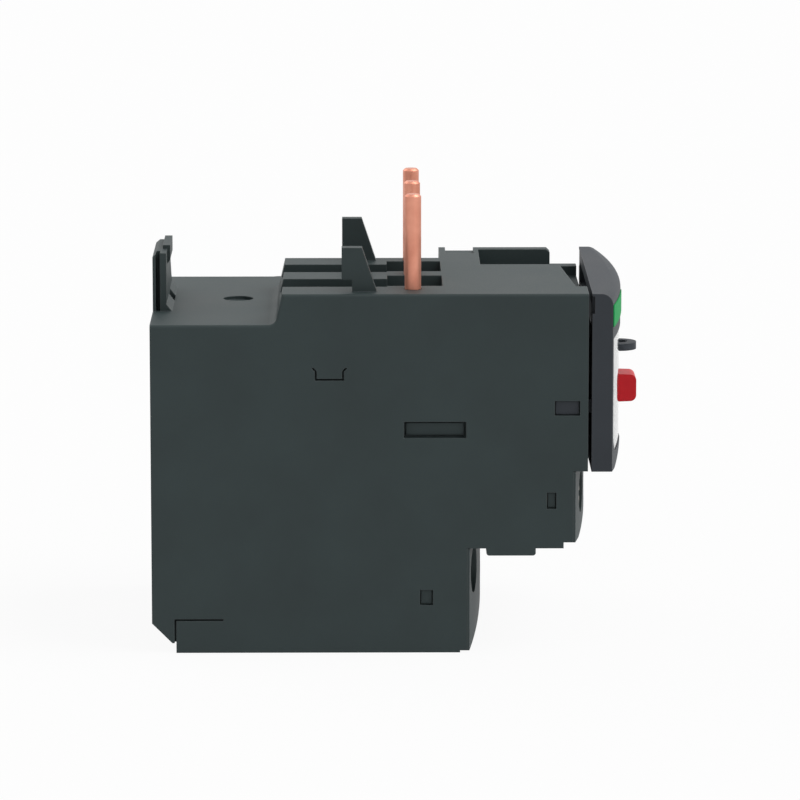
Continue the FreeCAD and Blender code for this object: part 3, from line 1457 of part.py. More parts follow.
def build_bars():
    """The slide bar with its drive finger, and the differential bar beside it."""
    height = (S.bar_low_z, S.bar_low_z + S.bar_height)
    left = strip_x(0) - S.bar_left_end
    right = strip_x(2) + S.bar_right_end
    front = (S.bar_front_y, S.bar_front_y + S.bar_width)
    rear = (front[1] + S.bar_gap, front[1] + S.bar_gap + S.bar_width)
    half = S.strip_thickness / 2 + S.tip_clearance
    margin = (S.strip_width - S.bar_gap) / 2 + S.tip_clearance
    slide_slots = [box((strip_x(i) - half, strip_x(i) + half),
                       (front[1] - margin, front[1] + 1), (S.bar_low_z - 1, height[1] + 1))
                   for i in range(3)]
    finger_right = S.lever_x - S.lever_width / 2 - S.fit_clearance * 2
    finger = box((finger_right - S.finger_width, finger_right),
                 (S.finger_y, S.bar_front_y + S.fit_clearance), height)
    slide = fuse("SlideSolid", box((left, right), front, height), finger)
    add_node("slide_bar", cut("SlideBar", slide, *slide_slots))
    rear_slots = [box((strip_x(i) - half, strip_x(i) + half),
                      (rear[0] - 1, rear[0] + margin), (S.bar_low_z - 1, height[1] + 1))
                  for i in range(3)]
    add_node("differential_bar",
             cut("DifferentialBar", box((left, right), rear, height), *rear_slots))


# ------------------------------------------------------------------------------ poles
def build_pin(index):
    """A contact pin: turned rod on a thinner root with a square collar and a flat foot."""
    x = pole_x(index)
    centre = (x, S.pin_y)
    chamfer = S.pin_chamfer
    shaft = rod("Z", centre, (S.top_z, S.pin_top_z - chamfer), S.pin_radius, "PinShaft")
    root = cut("PinRoot",
               faceted_rod("Z", centre, (S.pin_foot_z, S.top_z + 1), S.pin_root_radius),
               box((x + S.pin_flat, x + S.pin_radius + 1),
                   (S.pin_y - 2, S.pin_y + 2), (S.pin_foot_z - 1, S.pin_foot_z + S.pin_spade)))
    tip = DOC.addObject("Part::Cone", "PinTip")
    bind(tip, "Radius1", S.pin_radius)
    bind(tip, "Radius2", S.pin_radius - chamfer)
    bind(tip, "Height", chamfer)
    place(tip, x, S.pin_y, S.pin_top_z - chamfer)
    half = S.pin_collar_half
    collar = box((x - half, x + half), (S.pin_y - half, S.pin_y + half),
                 (S.pole_ceiling_z - S.pin_collar_height, S.pole_ceiling_z), "PinCollar")
    add_node(f"contact_pin_{index + 1}", fuse("Pin", shaft, root, tip, collar))


def build_strip(index):
    """A bimetal strip with a half-round root that rocks on its bracket."""
    x, half = strip_x(index), S.strip_thickness / 2
    y = (S.strip_y - S.strip_width / 2, S.strip_y + S.strip_width / 2)
    blade = box((x - half, x + half), y, (S.strip_root_z, S.strip_tip_z))
    root = rod("Y", (x, S.strip_root_z), y, half)
    add_node(f"bimetal_strip_{index + 1}", fuse("Strip", blade, root))


def rising_side(left, front, rear, low):
    """The left side of one turn: level at both corners, and up by one pitch between them."""
    thick, pitch, high = S.ribbon_thickness, S.winding_pitch, S.ribbon_height
    return prism("X", [
        (rear + thick, low),
        (rear + thick, low + high),
        (rear, low + high),
        (front, low + pitch + high),
        (front - thick, low + pitch + high),
        (front - thick, low + pitch),
        (front, low + pitch),
        (rear, low),
    ], (left - thick, left), "RisingSide")


def build_winding(index):
    """A heater ribbon wound round its strip, from the terminal's ear up to the pin."""
    x = strip_x(index)
    thick, gap = S.ribbon_thickness, S.winding_gap
    left, right = x - S.winding_near, x + S.winding_far
    front = S.strip_y - S.strip_width / 2 - gap
    rear = S.strip_y + S.strip_width / 2 + gap
    turns = int(S.winding_turns.value)
    low = S.winding_low_z
    items = [
        box((left, right), (rear, rear + thick), (low, low + S.ribbon_height)),
        rising_side(left, front, rear, low),
        box((right - S.ear_width, right), (rear, S.leg_y), (low, low + S.ribbon_height)),
    ]
    for turn in range(1, turns):
        low = S.winding_low_z + turn * S.winding_pitch
        wound = box((left, right + thick), (front - thick, rear + thick),
                    (low, low + S.ribbon_height))
        core = box((left - 1, right), (front, rear), (low - 1, low + S.ribbon_height + 1))
        items.append(cut("Turn", wound, core))
        items.append(rising_side(left, front, rear, low))
    low = S.winding_low_z + turns * S.winding_pitch
    items.append(box((pole_x(index) + S.pin_flat, left), (S.pin_y - S.pin_flat, front),
                     (low, low + S.ribbon_height)))
    winding = fuse("Winding", *items)
    add_node(f"heater_winding_{index + 1}", winding)


def build_terminal_plate(index):
    """A load terminal: clamp plate, floor strip, leg, shelf for the strip, and an ear."""
    x, centre = pole_x(index), strip_x(index)
    thick = S.plate_thickness
    half = S.shelf_half
    shelf_top = S.strip_root_z - S.strip_thickness / 2
    plate = box((x - S.plate_left, x + S.plate_right), (S.plate_y, S.plate_y + thick),
                (S.pole_floor_z, S.plate_top_z))
    run = prism("X", [
        (S.plate_y, S.pole_floor_z),
        (S.leg_y + thick, S.pole_floor_z),
        (S.leg_y + thick, shelf_top),
        (S.strip_y - S.strip_width / 2 - thick / 4, shelf_top),
        (S.strip_y - S.strip_width / 2 - thick / 4, shelf_top - thick),
        (S.leg_y, shelf_top - thick),
        (S.leg_y, S.pole_floor_z + thick),
        (S.plate_y, S.pole_floor_z + thick),
    ], (centre - half, centre + half), "TerminalRun")
    ear_left = centre + S.winding_far - S.ear_width
    ear = box((ear_left, centre + half), (S.leg_y, S.leg_y + thick),
              (shelf_top - thick, S.winding_low_z + S.ribbon_height))
    hole = faceted_hole("Y", (screw_x(index), S.screw_z),
                        (S.plate_y - 1, S.plate_y + thick + 1),
                        S.shank_radius + S.fit_clearance * 2)
    add_node(f"terminal_plate_{index + 1}",
             cut("TerminalPlate", fuse("TerminalSolid", plate, run, ear), hole))


def screw(label, x, z, seat_y, radius, height, shank_radius, shank_length):
    """A slotted terminal screw, its head in front of the seat, its shank behind."""
    head = rod("Y", (x, z), (seat_y - height, seat_y), radius)
    shank = faceted_rod("Y", (x, z), (seat_y - 1, seat_y + shank_length), shank_radius)
    blade = box((x - radius - 1, x + radius + 1), (seat_y - height - 1,
                                                   seat_y - height + S.slot_depth),
                (z - S.slot_width / 2, z + S.slot_width / 2))
    add_node(label, cut("Screw", fuse("ScrewSolid", head, shank), blade))


def build_power_clamp(index):
    """The saddle and screw of a power terminal, backed off for a cable."""
    x = pole_x(index)
    slot = S.shank_radius + S.fit_clearance
    saddle = cut("Saddle",
                 box((x - S.plate_left, x + S.plate_right),
                     (S.saddle_y, S.saddle_y + S.saddle_thickness),
                     (S.saddle_low_z, S.plate_top_z)),
                 box((x - S.plate_left - 1, screw_x(index) + slot),
                     (S.saddle_y - 1, S.saddle_y + S.saddle_thickness + 1),
                     (S.screw_z - slot, S.plate_top_z + 1)))
    add_node(f"power_saddle_{index + 1}", saddle)
    screw(f"power_screw_{index + 1}", screw_x(index), S.screw_z,
          S.saddle_y - S.fit_clearance, S.head_radius, S.head_height,
          S.shank_radius, S.shank_length)


def build_aux_terminal(index):
    """An auxiliary terminal: plate with contact arm, clamp and screw."""
    x, arm = aux_x(index), aux_arm_x(index)
    gap = S.fit_clearance * 2
    plate_y = (S.aux_plate_y, S.aux_plate_y + S.aux_plate_thickness)
    low = S.aux_chamber_floor_z
    half = S.aux_arm_width / 2
    rear = S.rocker_front_y + S.rocker_width
    bridge_top = S.rocker_z + S.rocker_arm_height / 2 + S.bridge_thickness
    outer = index in (0, 3)
    lift = S.contact_shut
    if index > 1:
        lift = S.contact_open_outer if outer else S.contact_open_inner
    tab_low = S.tab_z + (S.open_tab_lift if index > 1 else 0)
    tab = (tab_low, tab_low + S.tab_thickness)
    plate = fuse("AuxPlateSolid",
                 box((x - S.aux_plate_half, x + S.aux_plate_half), plate_y,
                     (low, S.aux_chamber_ceiling_z - gap)),
                 box((arm - half, arm + half), plate_y, (low, tab[1])),
                 box((arm - half, arm + half), (S.aux_plate_y, rear), tab))
    holed = cut("AuxPlate", plate,
                faceted_hole("Y", (x, S.aux_screw_z), (S.aux_plate_y - 1, plate_y[1] + 1),
                             S.aux_shank_radius + gap))
    pad = box((arm - S.contact_half, arm + S.contact_half), (S.rocker_front_y, rear),
              (bridge_top + lift, tab_low + S.fit_clearance), "ContactPad")
    add_node(f"aux_terminal_{index + 1}", fuse("AuxTerminal", holed, pad))
    saddle_rear = S.aux_saddle_y + S.aux_saddle_thickness
    inset = S.aux_plate_half - S.slide_gap
    slot = S.aux_shank_radius + S.fit_clearance
    clamp = cut("AuxClamp",
                box((x - inset, x + inset), (S.aux_saddle_y, saddle_rear),
                    (low + S.aux_clamp_lift, S.aux_chamber_ceiling_z - S.slide_gap)),
                box((x - slot, x + slot), (S.aux_saddle_y - 1, saddle_rear + 1),
                    (S.aux_screw_z - slot, S.aux_chamber_ceiling_z)))
    add_node(f"aux_clamp_{index + 1}", clamp)
    screw(f"aux_screw_{index + 1}", x, S.aux_screw_z, S.aux_saddle_y - S.fit_clearance,
          S.aux_head_radius, S.aux_head_height, S.aux_shank_radius, S.aux_shank_length)


# ------------------------------------------------------------------------------- build
def check_model():
    """Stop if any object failed to compute."""
    for item in DOC.Objects:
        bad = [word for word in item.State if word in ("Invalid", "Error")]
        if bad:
            raise RuntimeError(f"{item.Name} ({item.Label}) is {bad}")


def export_nodes():
    """Write each piece to its own STEP file."""
    os.makedirs("parts", exist_ok=True)
    for item in NODES:
        shape = item.Shape
        if shape.isNull() or not shape.isValid():
            raise RuntimeError(f"{item.Label} has no valid shape")
        shape.exportStep(os.path.join("parts", f"{item.Label}.step"))
        bounds = shape.BoundBox
        print(f"{item.Label:24s} solids {len(shape.Solids)} volume {shape.Volume:9.2f} "
              f"x {bounds.XMin:7.2f} {bounds.XMax:7.2f} y {bounds.YMin:7.2f} "
              f"{bounds.YMax:7.2f} z {bounds.ZMin:7.2f} {bounds.ZMax:7.2f}")


def main():
    """Build every piece of the relay and write it out."""
    build_housing()
    build_rear_cover()
    build_power_block()
    build_aux_block()
    build_bezel()
    build_fascia()
    build_inlay()
    build_cover()
    build_frame()
    build_stop_button()
    build_reset()
    build_test()
    build_spring("stop_spring", S.stop_x, S.stop_z, SPRING_TURNS)
    build_spring("reset_spring", S.reset_x, S.reset_z, SPRING_TURNS)
    build_dial()
    build_cam()
    build_follower()
    build_rocker()
    build_lever()
    build_bars()
    for index in range(3):
        build_pin(index)
        build_strip(index)
        build_winding(index)
        build_terminal_plate(index)
        build_power_clamp(index)
    for index in range(4):
        build_aux_terminal(index)
    DOC.recompute()
    check_model()
    export_nodes()


main()
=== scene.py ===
"""Looks of the overload relay: its finishes, printed marks, studio and camera.

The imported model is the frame. Every solid of it keeps its shape and place and gets a
finish here. The pieces added are the printed scale round the setting dial, the pointer on
the dial, the frame line round the stop button and the two coil springs. Lengths are
metres, in the frame's own axes: X to the right seen from the front panel, Y to the rear,
Z up.
"""
from __future__ import annotations

import json
import logging
import math
from dataclasses import dataclass
from enum import Enum

import bpy
import numpy as np
from mathutils import Euler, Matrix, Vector

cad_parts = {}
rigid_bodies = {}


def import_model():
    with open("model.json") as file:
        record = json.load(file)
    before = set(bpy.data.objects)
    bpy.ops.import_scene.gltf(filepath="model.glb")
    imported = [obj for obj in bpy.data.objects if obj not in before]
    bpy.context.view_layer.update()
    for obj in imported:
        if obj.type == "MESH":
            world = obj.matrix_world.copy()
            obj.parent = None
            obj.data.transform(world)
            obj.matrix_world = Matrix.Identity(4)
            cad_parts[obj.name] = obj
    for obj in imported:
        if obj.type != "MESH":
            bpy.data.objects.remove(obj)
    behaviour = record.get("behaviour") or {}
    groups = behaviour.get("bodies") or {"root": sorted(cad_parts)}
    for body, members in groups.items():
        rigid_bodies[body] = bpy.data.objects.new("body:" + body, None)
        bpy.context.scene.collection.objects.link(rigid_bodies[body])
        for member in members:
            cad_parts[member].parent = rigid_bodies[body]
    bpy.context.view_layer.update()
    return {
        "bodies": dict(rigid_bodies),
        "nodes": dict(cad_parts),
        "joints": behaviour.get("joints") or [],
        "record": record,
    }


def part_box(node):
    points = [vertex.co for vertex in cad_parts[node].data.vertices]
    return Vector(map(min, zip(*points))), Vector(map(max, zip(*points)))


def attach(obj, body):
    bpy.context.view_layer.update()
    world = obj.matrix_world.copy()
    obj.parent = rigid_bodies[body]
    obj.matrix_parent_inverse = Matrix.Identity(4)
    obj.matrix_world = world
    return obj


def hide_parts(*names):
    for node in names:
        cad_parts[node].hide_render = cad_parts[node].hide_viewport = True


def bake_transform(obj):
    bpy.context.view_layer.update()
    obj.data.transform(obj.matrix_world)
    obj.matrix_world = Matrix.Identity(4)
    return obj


LOG = logging.getLogger("relay")
MM = 0.001
MIDDLE = 0.5            # the mean of a noise
LEAST_ROUGHNESS = 0.05
Colour = tuple[float, float, float]


# ------------------------------------------------------------------------ shader maths
class Socket:
    """An output socket whose arithmetic adds Math nodes to its tree."""

    def __init__(self, shader: "Shader", output: bpy.types.NodeSocket) -> None:
        """Wrap an output of a shader under construction."""
        self.shader = shader
        self.output = output

    def _math(self, operation: str, first: "Value", second: "Value") -> "Socket":
        """Add a Math node that works on two values."""
        return self.shader.node("ShaderNodeMath", {"operation": operation},
                                {0: first, 1: second})

    def __add__(self, other: "Value") -> "Socket":
        """This plus another."""
        return self._math("ADD", self, other)

    def __radd__(self, other: "Value") -> "Socket":
        """Another plus this."""
        return self._math("ADD", other, self)

    def __sub__(self, other: "Value") -> "Socket":
        """This minus another."""
        return self._math("SUBTRACT", self, other)

    def __rsub__(self, other: "Value") -> "Socket":
        """Another minus this."""
        return self._math("SUBTRACT", other, self)

    def __mul__(self, other: "Value") -> "Socket":
        """This times another."""
        return self._math("MULTIPLY", self, other)

    def __rmul__(self, other: "Value") -> "Socket":
        """Another times this."""
        return self._math("MULTIPLY", other, self)

    def clamp(self, low: float = 0.0, high: float = 1.0) -> "Socket":
        """This value, kept between two limits."""
        return self._math("MINIMUM", self._math("MAXIMUM", self, low), high)

    def ramp(self, low: float, high: float) -> "Socket":
        """This value spread so that low becomes nought and high becomes one."""
        return self.shader.node("ShaderNodeMapRange", {"clamp": True},
                                {"Value": self, "From Min": low, "From Max": high})


Value = Socket | float


class Shader:
    """A material's node tree while it is built."""

    def __init__(self, name: str) -> None:
        """Start an empty material of that name."""
        self.material = bpy.data.materials.new(name)
        self.material.use_nodes = True
        self.tree = self.material.node_tree
        self.tree.nodes.clear()

    def node(self, kind: str, settings: dict | None = None, inputs: dict | None = None,
             output: int | str = 0) -> Socket:
        """Add one node.

        Args:
            kind: the node's type.
            settings: its properties, set before its sockets.
            inputs: values or sockets for its inputs, by name or number.
            output: the output that is handed back.

        Returns:
            The chosen output.
        """
        made = self.tree.nodes.new(kind)
        for key, value in (settings or {}).items():
            setattr(made, key, value)
        for key, value in (inputs or {}).items():
            if isinstance(value, Socket):
                self.tree.links.new(value.output, made.inputs[key])
            else:
                made.inputs[key].default_value = value
        return Socket(self, made.outputs[output])

    def mix(self, factor: Value, first: "Socket | Colour", second: "Socket | Colour") -> Socket:
        """Blend two colours by a factor."""
        ends = [end if isinstance(end, Socket) else (*end, 1.0) for end in (first, second)]
        return self.node("ShaderNodeMix", {"data_type": "RGBA"},
                         {0: factor, 6: ends[0], 7: ends[1]}, output=2)

    def place(self, stretch: Colour = (1.0, 1.0, 1.0)) -> Socket:
        """Object coordinates, stretched by three factors."""
        spot = self.node("ShaderNodeTexCoord", output="Object")
        return self.node("ShaderNodeMapping", None, {"Vector": spot, "Scale": stretch})

    def noise(self, scale: float, detail: float,
              stretch: Colour = (1.0, 1.0, 1.0)) -> Socket:
        """Fractal noise with so many cycles a metre."""
        return self.node("ShaderNodeTexNoise", None,
                         {"Vector": self.place(stretch), "Scale": scale, "Detail": detail})

    def cells(self, scale: float) -> Socket:
        """Distance to the nearest of random points, so many a metre."""
        return self.node("ShaderNodeTexVoronoi", {"feature": "F1"},
                         {"Vector": self.place(), "Scale": scale})

    def soft_edges(self, radius: float) -> Socket:
        """Surface normal, rounded over the edges by a radius."""
        return self.node("ShaderNodeBevel", {"samples": 6}, {"Radius": radius})

    def edge_mask(self, rounded: Socket, gain: float) -> Socket:
        """How far the rounded normal leans from the face's own: one on an edge."""
        flat = self.node("ShaderNodeNewGeometry", output="True Normal")
        lean = self.node("ShaderNodeVectorMath", {"operation": "DOT_PRODUCT"},
                         {0: rounded, 1: flat}, output="Value")
        return ((1.0 - lean) * gain).clamp()

    def bump(self, height: Socket, distance: float, normal: Socket) -> Socket:
        """A height, as deep as the distance, laid over a normal."""
        return self.node("ShaderNodeBump", None,
                         {"Height": height, "Distance": distance, "Strength": 1.0,
                          "Normal": normal})

    def surface(self, **inputs: "Value | Colour") -> bpy.types.Material:
        """Close the tree with a Principled surface and hand back its material."""
        named = {key.replace("_", " ").title().replace("Ior", "IOR"): value
                 for key, value in inputs.items()}
        for key in ("Base Color", "Emission Color"):
            if isinstance(named.get(key), tuple):
                named[key] = (*named[key], 1.0)
        shade = self.node("ShaderNodeBsdfPrincipled", None, named)
        self.node_output(shade)
        return self.material

    def node_output(self, shade: Socket) -> None:
        """Link a shader to the material's output."""
        end = self.tree.nodes.new("ShaderNodeOutputMaterial")
        self.tree.links.new(shade.output, end.inputs["Surface"])


# ---------------------------------------------------------------------------- finishes
@dataclass(frozen=True)
class MouldedPlastic:
    """Moulded plastic with a spark-eroded grain, soft edges lightened by a painted highlight and
    a little wear, and faint flow mottling.
    """

    name: str
    colour: Colour
    roughness: float = 0.56
    shine: float = 0.28
    grain_size: float = 0.16 * MM
    grain_depth: float = 0.006 * MM
    edge_radius: float = 0.22 * MM
    # How far the painted edge highlight, with a little wear, lifts the colour towards white.
    edge_lift: float = 0.10
    edge_gain: float = 2.2
    edge_cover: float = 0.6
    edge_polish: float = 0.08
    flow_scale: float = 90.0
    flow_band: tuple[float, float] = (0.3, 0.7)
    flow_dulling: float = 0.12
    grain_dulling: float = 0.16
    grain_share: float = 0.7
    pit_share: float = 0.6
    mottle: float = 0.10

    def build(self) -> bpy.types.Material:
        """Build the material."""
        shader = Shader(self.name)
        flow = shader.noise(self.flow_scale, 3.0)
        grain = shader.noise(1.0 / self.grain_size, 2.0)
        pits = shader.cells(self.pit_share / self.grain_size)
        rounded = shader.soft_edges(self.edge_radius)
        edge = shader.edge_mask(rounded, self.edge_gain)
        dark = tuple(channel * (1.0 - self.mottle) for channel in self.colour)
        light = tuple(min(1.0, channel * (1.0 + self.mottle)) for channel in self.colour)
        # Edge colour: the body colour lifted towards white, a painted highlight along the
        # rounded edges with a little wear.
        edge_highlight_and_wear = tuple(channel + (1.0 - channel) * self.edge_lift for channel in self.colour)
        body = shader.mix(flow.ramp(*self.flow_band), dark, light)
        height = grain * self.grain_share + pits * self.pit_share
        return shader.surface(
            base_color=shader.mix(edge * self.edge_cover, body, edge_highlight_and_wear),
            roughness=(self.roughness + (grain - MIDDLE) * self.grain_dulling
                       + (flow - MIDDLE) * self.flow_dulling
                       - edge * self.edge_polish).clamp(LEAST_ROUGHNESS),
            specular_ior_level=self.shine,
            normal=shader.bump(height, self.grain_depth, rounded),
        )


@dataclass(frozen=True)
class SmoothPlastic:
    """Polished plastic: faint ripple, fine scratches that dull it, soft edges."""

    name: str
    colour: Colour
    roughness: float = 0.22
    shine: float = 0.4
    edge_radius: float = 0.18 * MM
    ripple: float = 0.003 * MM
    ripple_scale: float = 700.0
    ripple_band: tuple[float, float] = (0.3, 0.7)
    deepening: float = 0.06
    scratch_scale: float = 5200.0
    scratch_stretch: Colour = (1.0, 1.0, 0.12)
    scratch_dulling: float = 0.18
    scratch_depth: float = 0.15

    def build(self) -> bpy.types.Material:
        """Build the material."""
        shader = Shader(self.name)
        wave = shader.noise(self.ripple_scale, 2.0)
        scratch = shader.noise(self.scratch_scale, 4.0, self.scratch_stretch)
        rounded = shader.soft_edges(self.edge_radius)
        deep = tuple(channel * (1.0 - self.deepening) for channel in self.colour)
        return shader.surface(
            base_color=shader.mix(wave.ramp(*self.ripple_band), deep, self.colour),
            roughness=(self.roughness
                       + (scratch - MIDDLE) * self.scratch_dulling).clamp(LEAST_ROUGHNESS),
            specular_ior_level=self.shine,
            normal=shader.bump(wave + scratch * self.scratch_depth, self.ripple, rounded),
        )


@dataclass(frozen=True)
class WorkedMetal:
    """Drawn, rolled or plated metal: lines along one axis and a thin tarnish."""

    name: str
    colour: Colour
    tarnish: Colour
    stretch: Colour
    roughness: float = 0.32
    line_scale: float = 4500.0
    line_depth: float = 0.004 * MM
    line_dulling: float = 0.30
    film_scale: float = 260.0
    film_band: tuple[float, float] = (0.42, 0.68)
    film_cover: float = 0.55
    film_dulling: float = 0.10
    edge_radius: float = 0.10 * MM

    def build(self) -> bpy.types.Material:
        """Build the material."""
        shader = Shader(self.name)
        lines = shader.noise(self.line_scale, 4.0, self.stretch)
        film = shader.noise(self.film_scale, 4.0).ramp(*self.film_band)
        rounded = shader.soft_edges(self.edge_radius)
        return shader.surface(
            base_color=shader.mix(film * self.film_cover, self.colour, self.tarnish),
            metallic=1.0,
            roughness=(self.roughness + (lines - MIDDLE) * self.line_dulling
                       + film * self.film_dulling).clamp(LEAST_ROUGHNESS),
            normal=shader.bump(lines, self.line_depth, rounded),
        )


@dataclass(frozen=True)
class ClearPlastic:
    """Clear polycarbonate with faint handling marks."""

    name: str
    colour: Colour = (0.97, 0.985, 0.99)
    roughness: float = 0.04
    refraction: float = 1.585
    mark_scale: float = 1500.0
    mark_stretch: Colour = (1.0, 1.0, 0.25)
    mark_band: tuple[float, float] = (0.62, 0.8)
    mark_dulling: float = 0.12
    ripple_scale: float = 300.0
    ripple: float = 0.002 * MM
    edge_radius: float = 0.15 * MM

    def build(self) -> bpy.types.Material:
        """Build the material."""
        shader = Shader(self.name)
        marks = shader.noise(self.mark_scale, 4.0, self.mark_stretch).ramp(*self.mark_band)
        wave = shader.noise(self.ripple_scale, 2.0)
        rounded = shader.soft_edges(self.edge_radius)
        return shader.surface(
            base_color=self.colour,
            roughness=(self.roughness + marks * self.mark_dulling).clamp(),
            transmission_weight=1.0,
            ior=self.refraction,
            normal=shader.bump(wave, self.ripple, rounded),
        )


@dataclass(frozen=True)
class PrintedInk:
    """A thin printed mark with slightly uneven ink."""

    name: str
    colour: Colour
    roughness: float = 0.42
    film_scale: float = 9000.0
    film_band: tuple[float, float] = (0.4, 0.7)
    film_dulling: float = 0.2
    thinning: float = 0.05

    def build(self) -> bpy.types.Material:
        """Build the material."""
        shader = Shader(self.name)
        ink = shader.noise(self.film_scale, 3.0)
        thin = tuple(channel + self.thinning for channel in self.colour)
        return shader.surface(
            base_color=shader.mix(ink.ramp(*self.film_band), self.colour, thin),
            roughness=(self.roughness + (ink - MIDDLE) * self.film_dulling).clamp(),
        )


ALONG_Z: Colour = (1.0, 1.0, 0.03)
ALONG_Y: Colour = (1.0, 0.03, 1.0)
ALONG_X: Colour = (0.03, 1.0, 1.0)


class Finish(Enum):
    """The finishes, one for each kind of part that they dress."""

    HOUSING = MouldedPlastic("housing", (0.029, 0.043, 0.044))
    BEZEL = MouldedPlastic("bezel", (0.038, 0.044, 0.052), roughness=0.55, shine=0.2)
    FASCIA = SmoothPlastic("fascia", (0.70, 0.705, 0.71), roughness=0.38)
    INLAY = SmoothPlastic("inlay", (0.008, 0.335, 0.085), roughness=0.60, shine=0.1)
    CLEAR = ClearPlastic("clear")
    FRAME = MouldedPlastic("frame", (0.10, 0.105, 0.11), roughness=0.55)
    RED_BUTTON = SmoothPlastic("red_button", (0.62, 0.014, 0.022), roughness=0.45, shine=0.2)
    BLUE_BUTTON = SmoothPlastic("blue_button", (0.016, 0.075, 0.36), roughness=0.34)
    STEM = MouldedPlastic("stem", (0.55, 0.55, 0.50), roughness=0.40)
    DIAL = MouldedPlastic("dial", (0.72, 0.72, 0.69), roughness=0.38, edge_lift=0.3)
    MECHANISM = MouldedPlastic("mechanism", (0.66, 0.62, 0.50), roughness=0.42)
    SIGNAL = SmoothPlastic("signal", (0.78, 0.24, 0.012))
    SPRING_STEEL = WorkedMetal("spring_steel", (0.56, 0.56, 0.57), (0.42, 0.41, 0.40), ALONG_Y)
    SCREW_STEEL = WorkedMetal("screw_steel", (0.72, 0.70, 0.64), (0.58, 0.53, 0.40), ALONG_X,
                              roughness=0.28)
    BIMETAL = WorkedMetal("bimetal", (0.60, 0.57, 0.52), (0.44, 0.37, 0.30), ALONG_Z)
    COPPER = WorkedMetal("copper", (0.72, 0.32, 0.225), (0.55, 0.21, 0.14), ALONG_Z,
                         roughness=0.42)
    HEATER = WorkedMetal("heater", (0.47, 0.43, 0.39), (0.30, 0.25, 0.24), ALONG_Y)
    TERMINAL_METAL = WorkedMetal("terminal_metal", (0.80, 0.66, 0.38), (0.58, 0.44, 0.24),
                                 ALONG_X)
    CLAMP_STEEL = WorkedMetal("clamp_steel", (0.68, 0.66, 0.60), (0.52, 0.48, 0.38), ALONG_X)
    CONTACT_METAL = WorkedMetal("contact_metal", (0.84, 0.78, 0.62), (0.60, 0.50, 0.36), ALONG_X)
    DARK_INK = PrintedInk("dark_ink", (0.03, 0.032, 0.035))


class Paint:
    """Builds each finish once and puts it on objects."""

    def __init__(self) -> None:
        """Start with no material built."""
        self.ready: dict[Finish, bpy.types.Material] = {}

    def material(self, finish: Finish) -> bpy.types.Material:
        """The finish's material, built at its first use."""
        if finish not in self.ready:
            self.ready[finish] = finish.value.build()
        return self.ready[finish]

    def dress(self, item: bpy.types.Object, finish: Finish) -> None:
        """Put a finish on an object's only material slot."""
        if not item.material_slots:
            item.data.materials.append(None)
        for slot in item.material_slots:
            slot.material = self.material(finish)


# ------------------------------------------------------------------------ mesh helpers
def sheet(name: str, points: np.ndarray) -> bpy.types.Object:
    """Make a surface from a grid of points.

    Args:
        name: the new object's name.
        points: an array of rows by columns by three.

    Returns:
        The object, with one quad between each four neighbours.
    """
    rows, columns = points.shape[:2]
    index = np.arange(rows * columns).reshape(rows, columns)
    quads = np.stack([index[:-1, :-1], index[:-1, 1:], index[1:, 1:], index[1:, :-1]], axis=-1)
    return solid(name, points.reshape(-1, 3), quads.reshape(-1, 4))


def solid(name: str, points: np.ndarray, faces: np.ndarray) -> bpy.types.Object:
    """Make an object from points and faces."""
    mesh = bpy.data.meshes.new(name)
    mesh.from_pydata(points.tolist(), [], faces.tolist())
    mesh.update()
    item = bpy.data.objects.new(name, mesh)
    bpy.context.scene.collection.objects.link(item)
    return item


@dataclass(frozen=True)
class BowedFace:
    """The bowed front of the panel: an arc in plan, upright in section.

    The face lies at tip + r - sqrt(r r - x x), where r is the arc's radius.
    """

    tip: float
    half_chord: float
    rise: float = 2.0 * MM

    @property
    def radius(self) -> float:
        """Radius of the arc through the chord's ends and the tip."""
        return (self.half_chord ** 2 + self.rise ** 2) / (2.0 * self.rise)

    def depth(self, x: np.ndarray) -> np.ndarray:
        """Y of the face at each X."""
        return self.tip + self.radius - np.sqrt(self.radius ** 2 - x ** 2)

    def wrap(self, flat: np.ndarray, lift: float) -> np.ndarray:
        """Lay points given as (x, z) on the face, a lift in front of it."""
        return np.stack([flat[..., 0], self.depth(flat[..., 0]) - lift, flat[..., 1]], axis=-1)


def bar_strip(start: np.ndarray, end: np.ndarray, width: float, steps: int) -> np.ndarray:
    """A flat bar from start to end: two rows of points, half the width to each side.

    Returns:
        An array of steps + 1 by two by two. Its short steps follow a bowed face.
    """
    along = (end - start) / np.linalg.norm(end - start)
    side = np.array([-along[1], along[0]]) * width / 2.0
    middle = start + np.linspace(0.0, 1.0, steps + 1)[:, None] * (end - start)
    return np.stack([middle - side, middle + side], axis=1)


def strips(name: str, bars: list[np.ndarray]) -> bpy.types.Object:
    """One object from several strips of points, each steps + 1 by two by three."""
    quads, first = [], 0
    for bar in bars:
        low = first + 2 * np.arange(len(bar) - 1)
        quads.append(np.stack([low, low + 2, low + 3, low + 1], axis=-1))
        first += 2 * len(bar)
    return solid(name, np.concatenate([bar.reshape(-1, 3) for bar in bars]),
                 np.concatenate(quads))


# ------------------------------------------------------------------------- assemblies
@dataclass
class Housing:
    """The dark mouldings: housing, rear cover and the two terminal fronts."""

    paint: Paint
    nodes: tuple[str, ...] = ("main_housing", "rear_cover", "power_terminal_block",
                              "aux_terminal_block")

    def build(self, frame: dict) -> list[bpy.types.Object]:
        """Dress the mouldings."""
        for node in self.nodes:
            self.paint.dress(frame["nodes"][node], Finish.HOUSING)
        return []


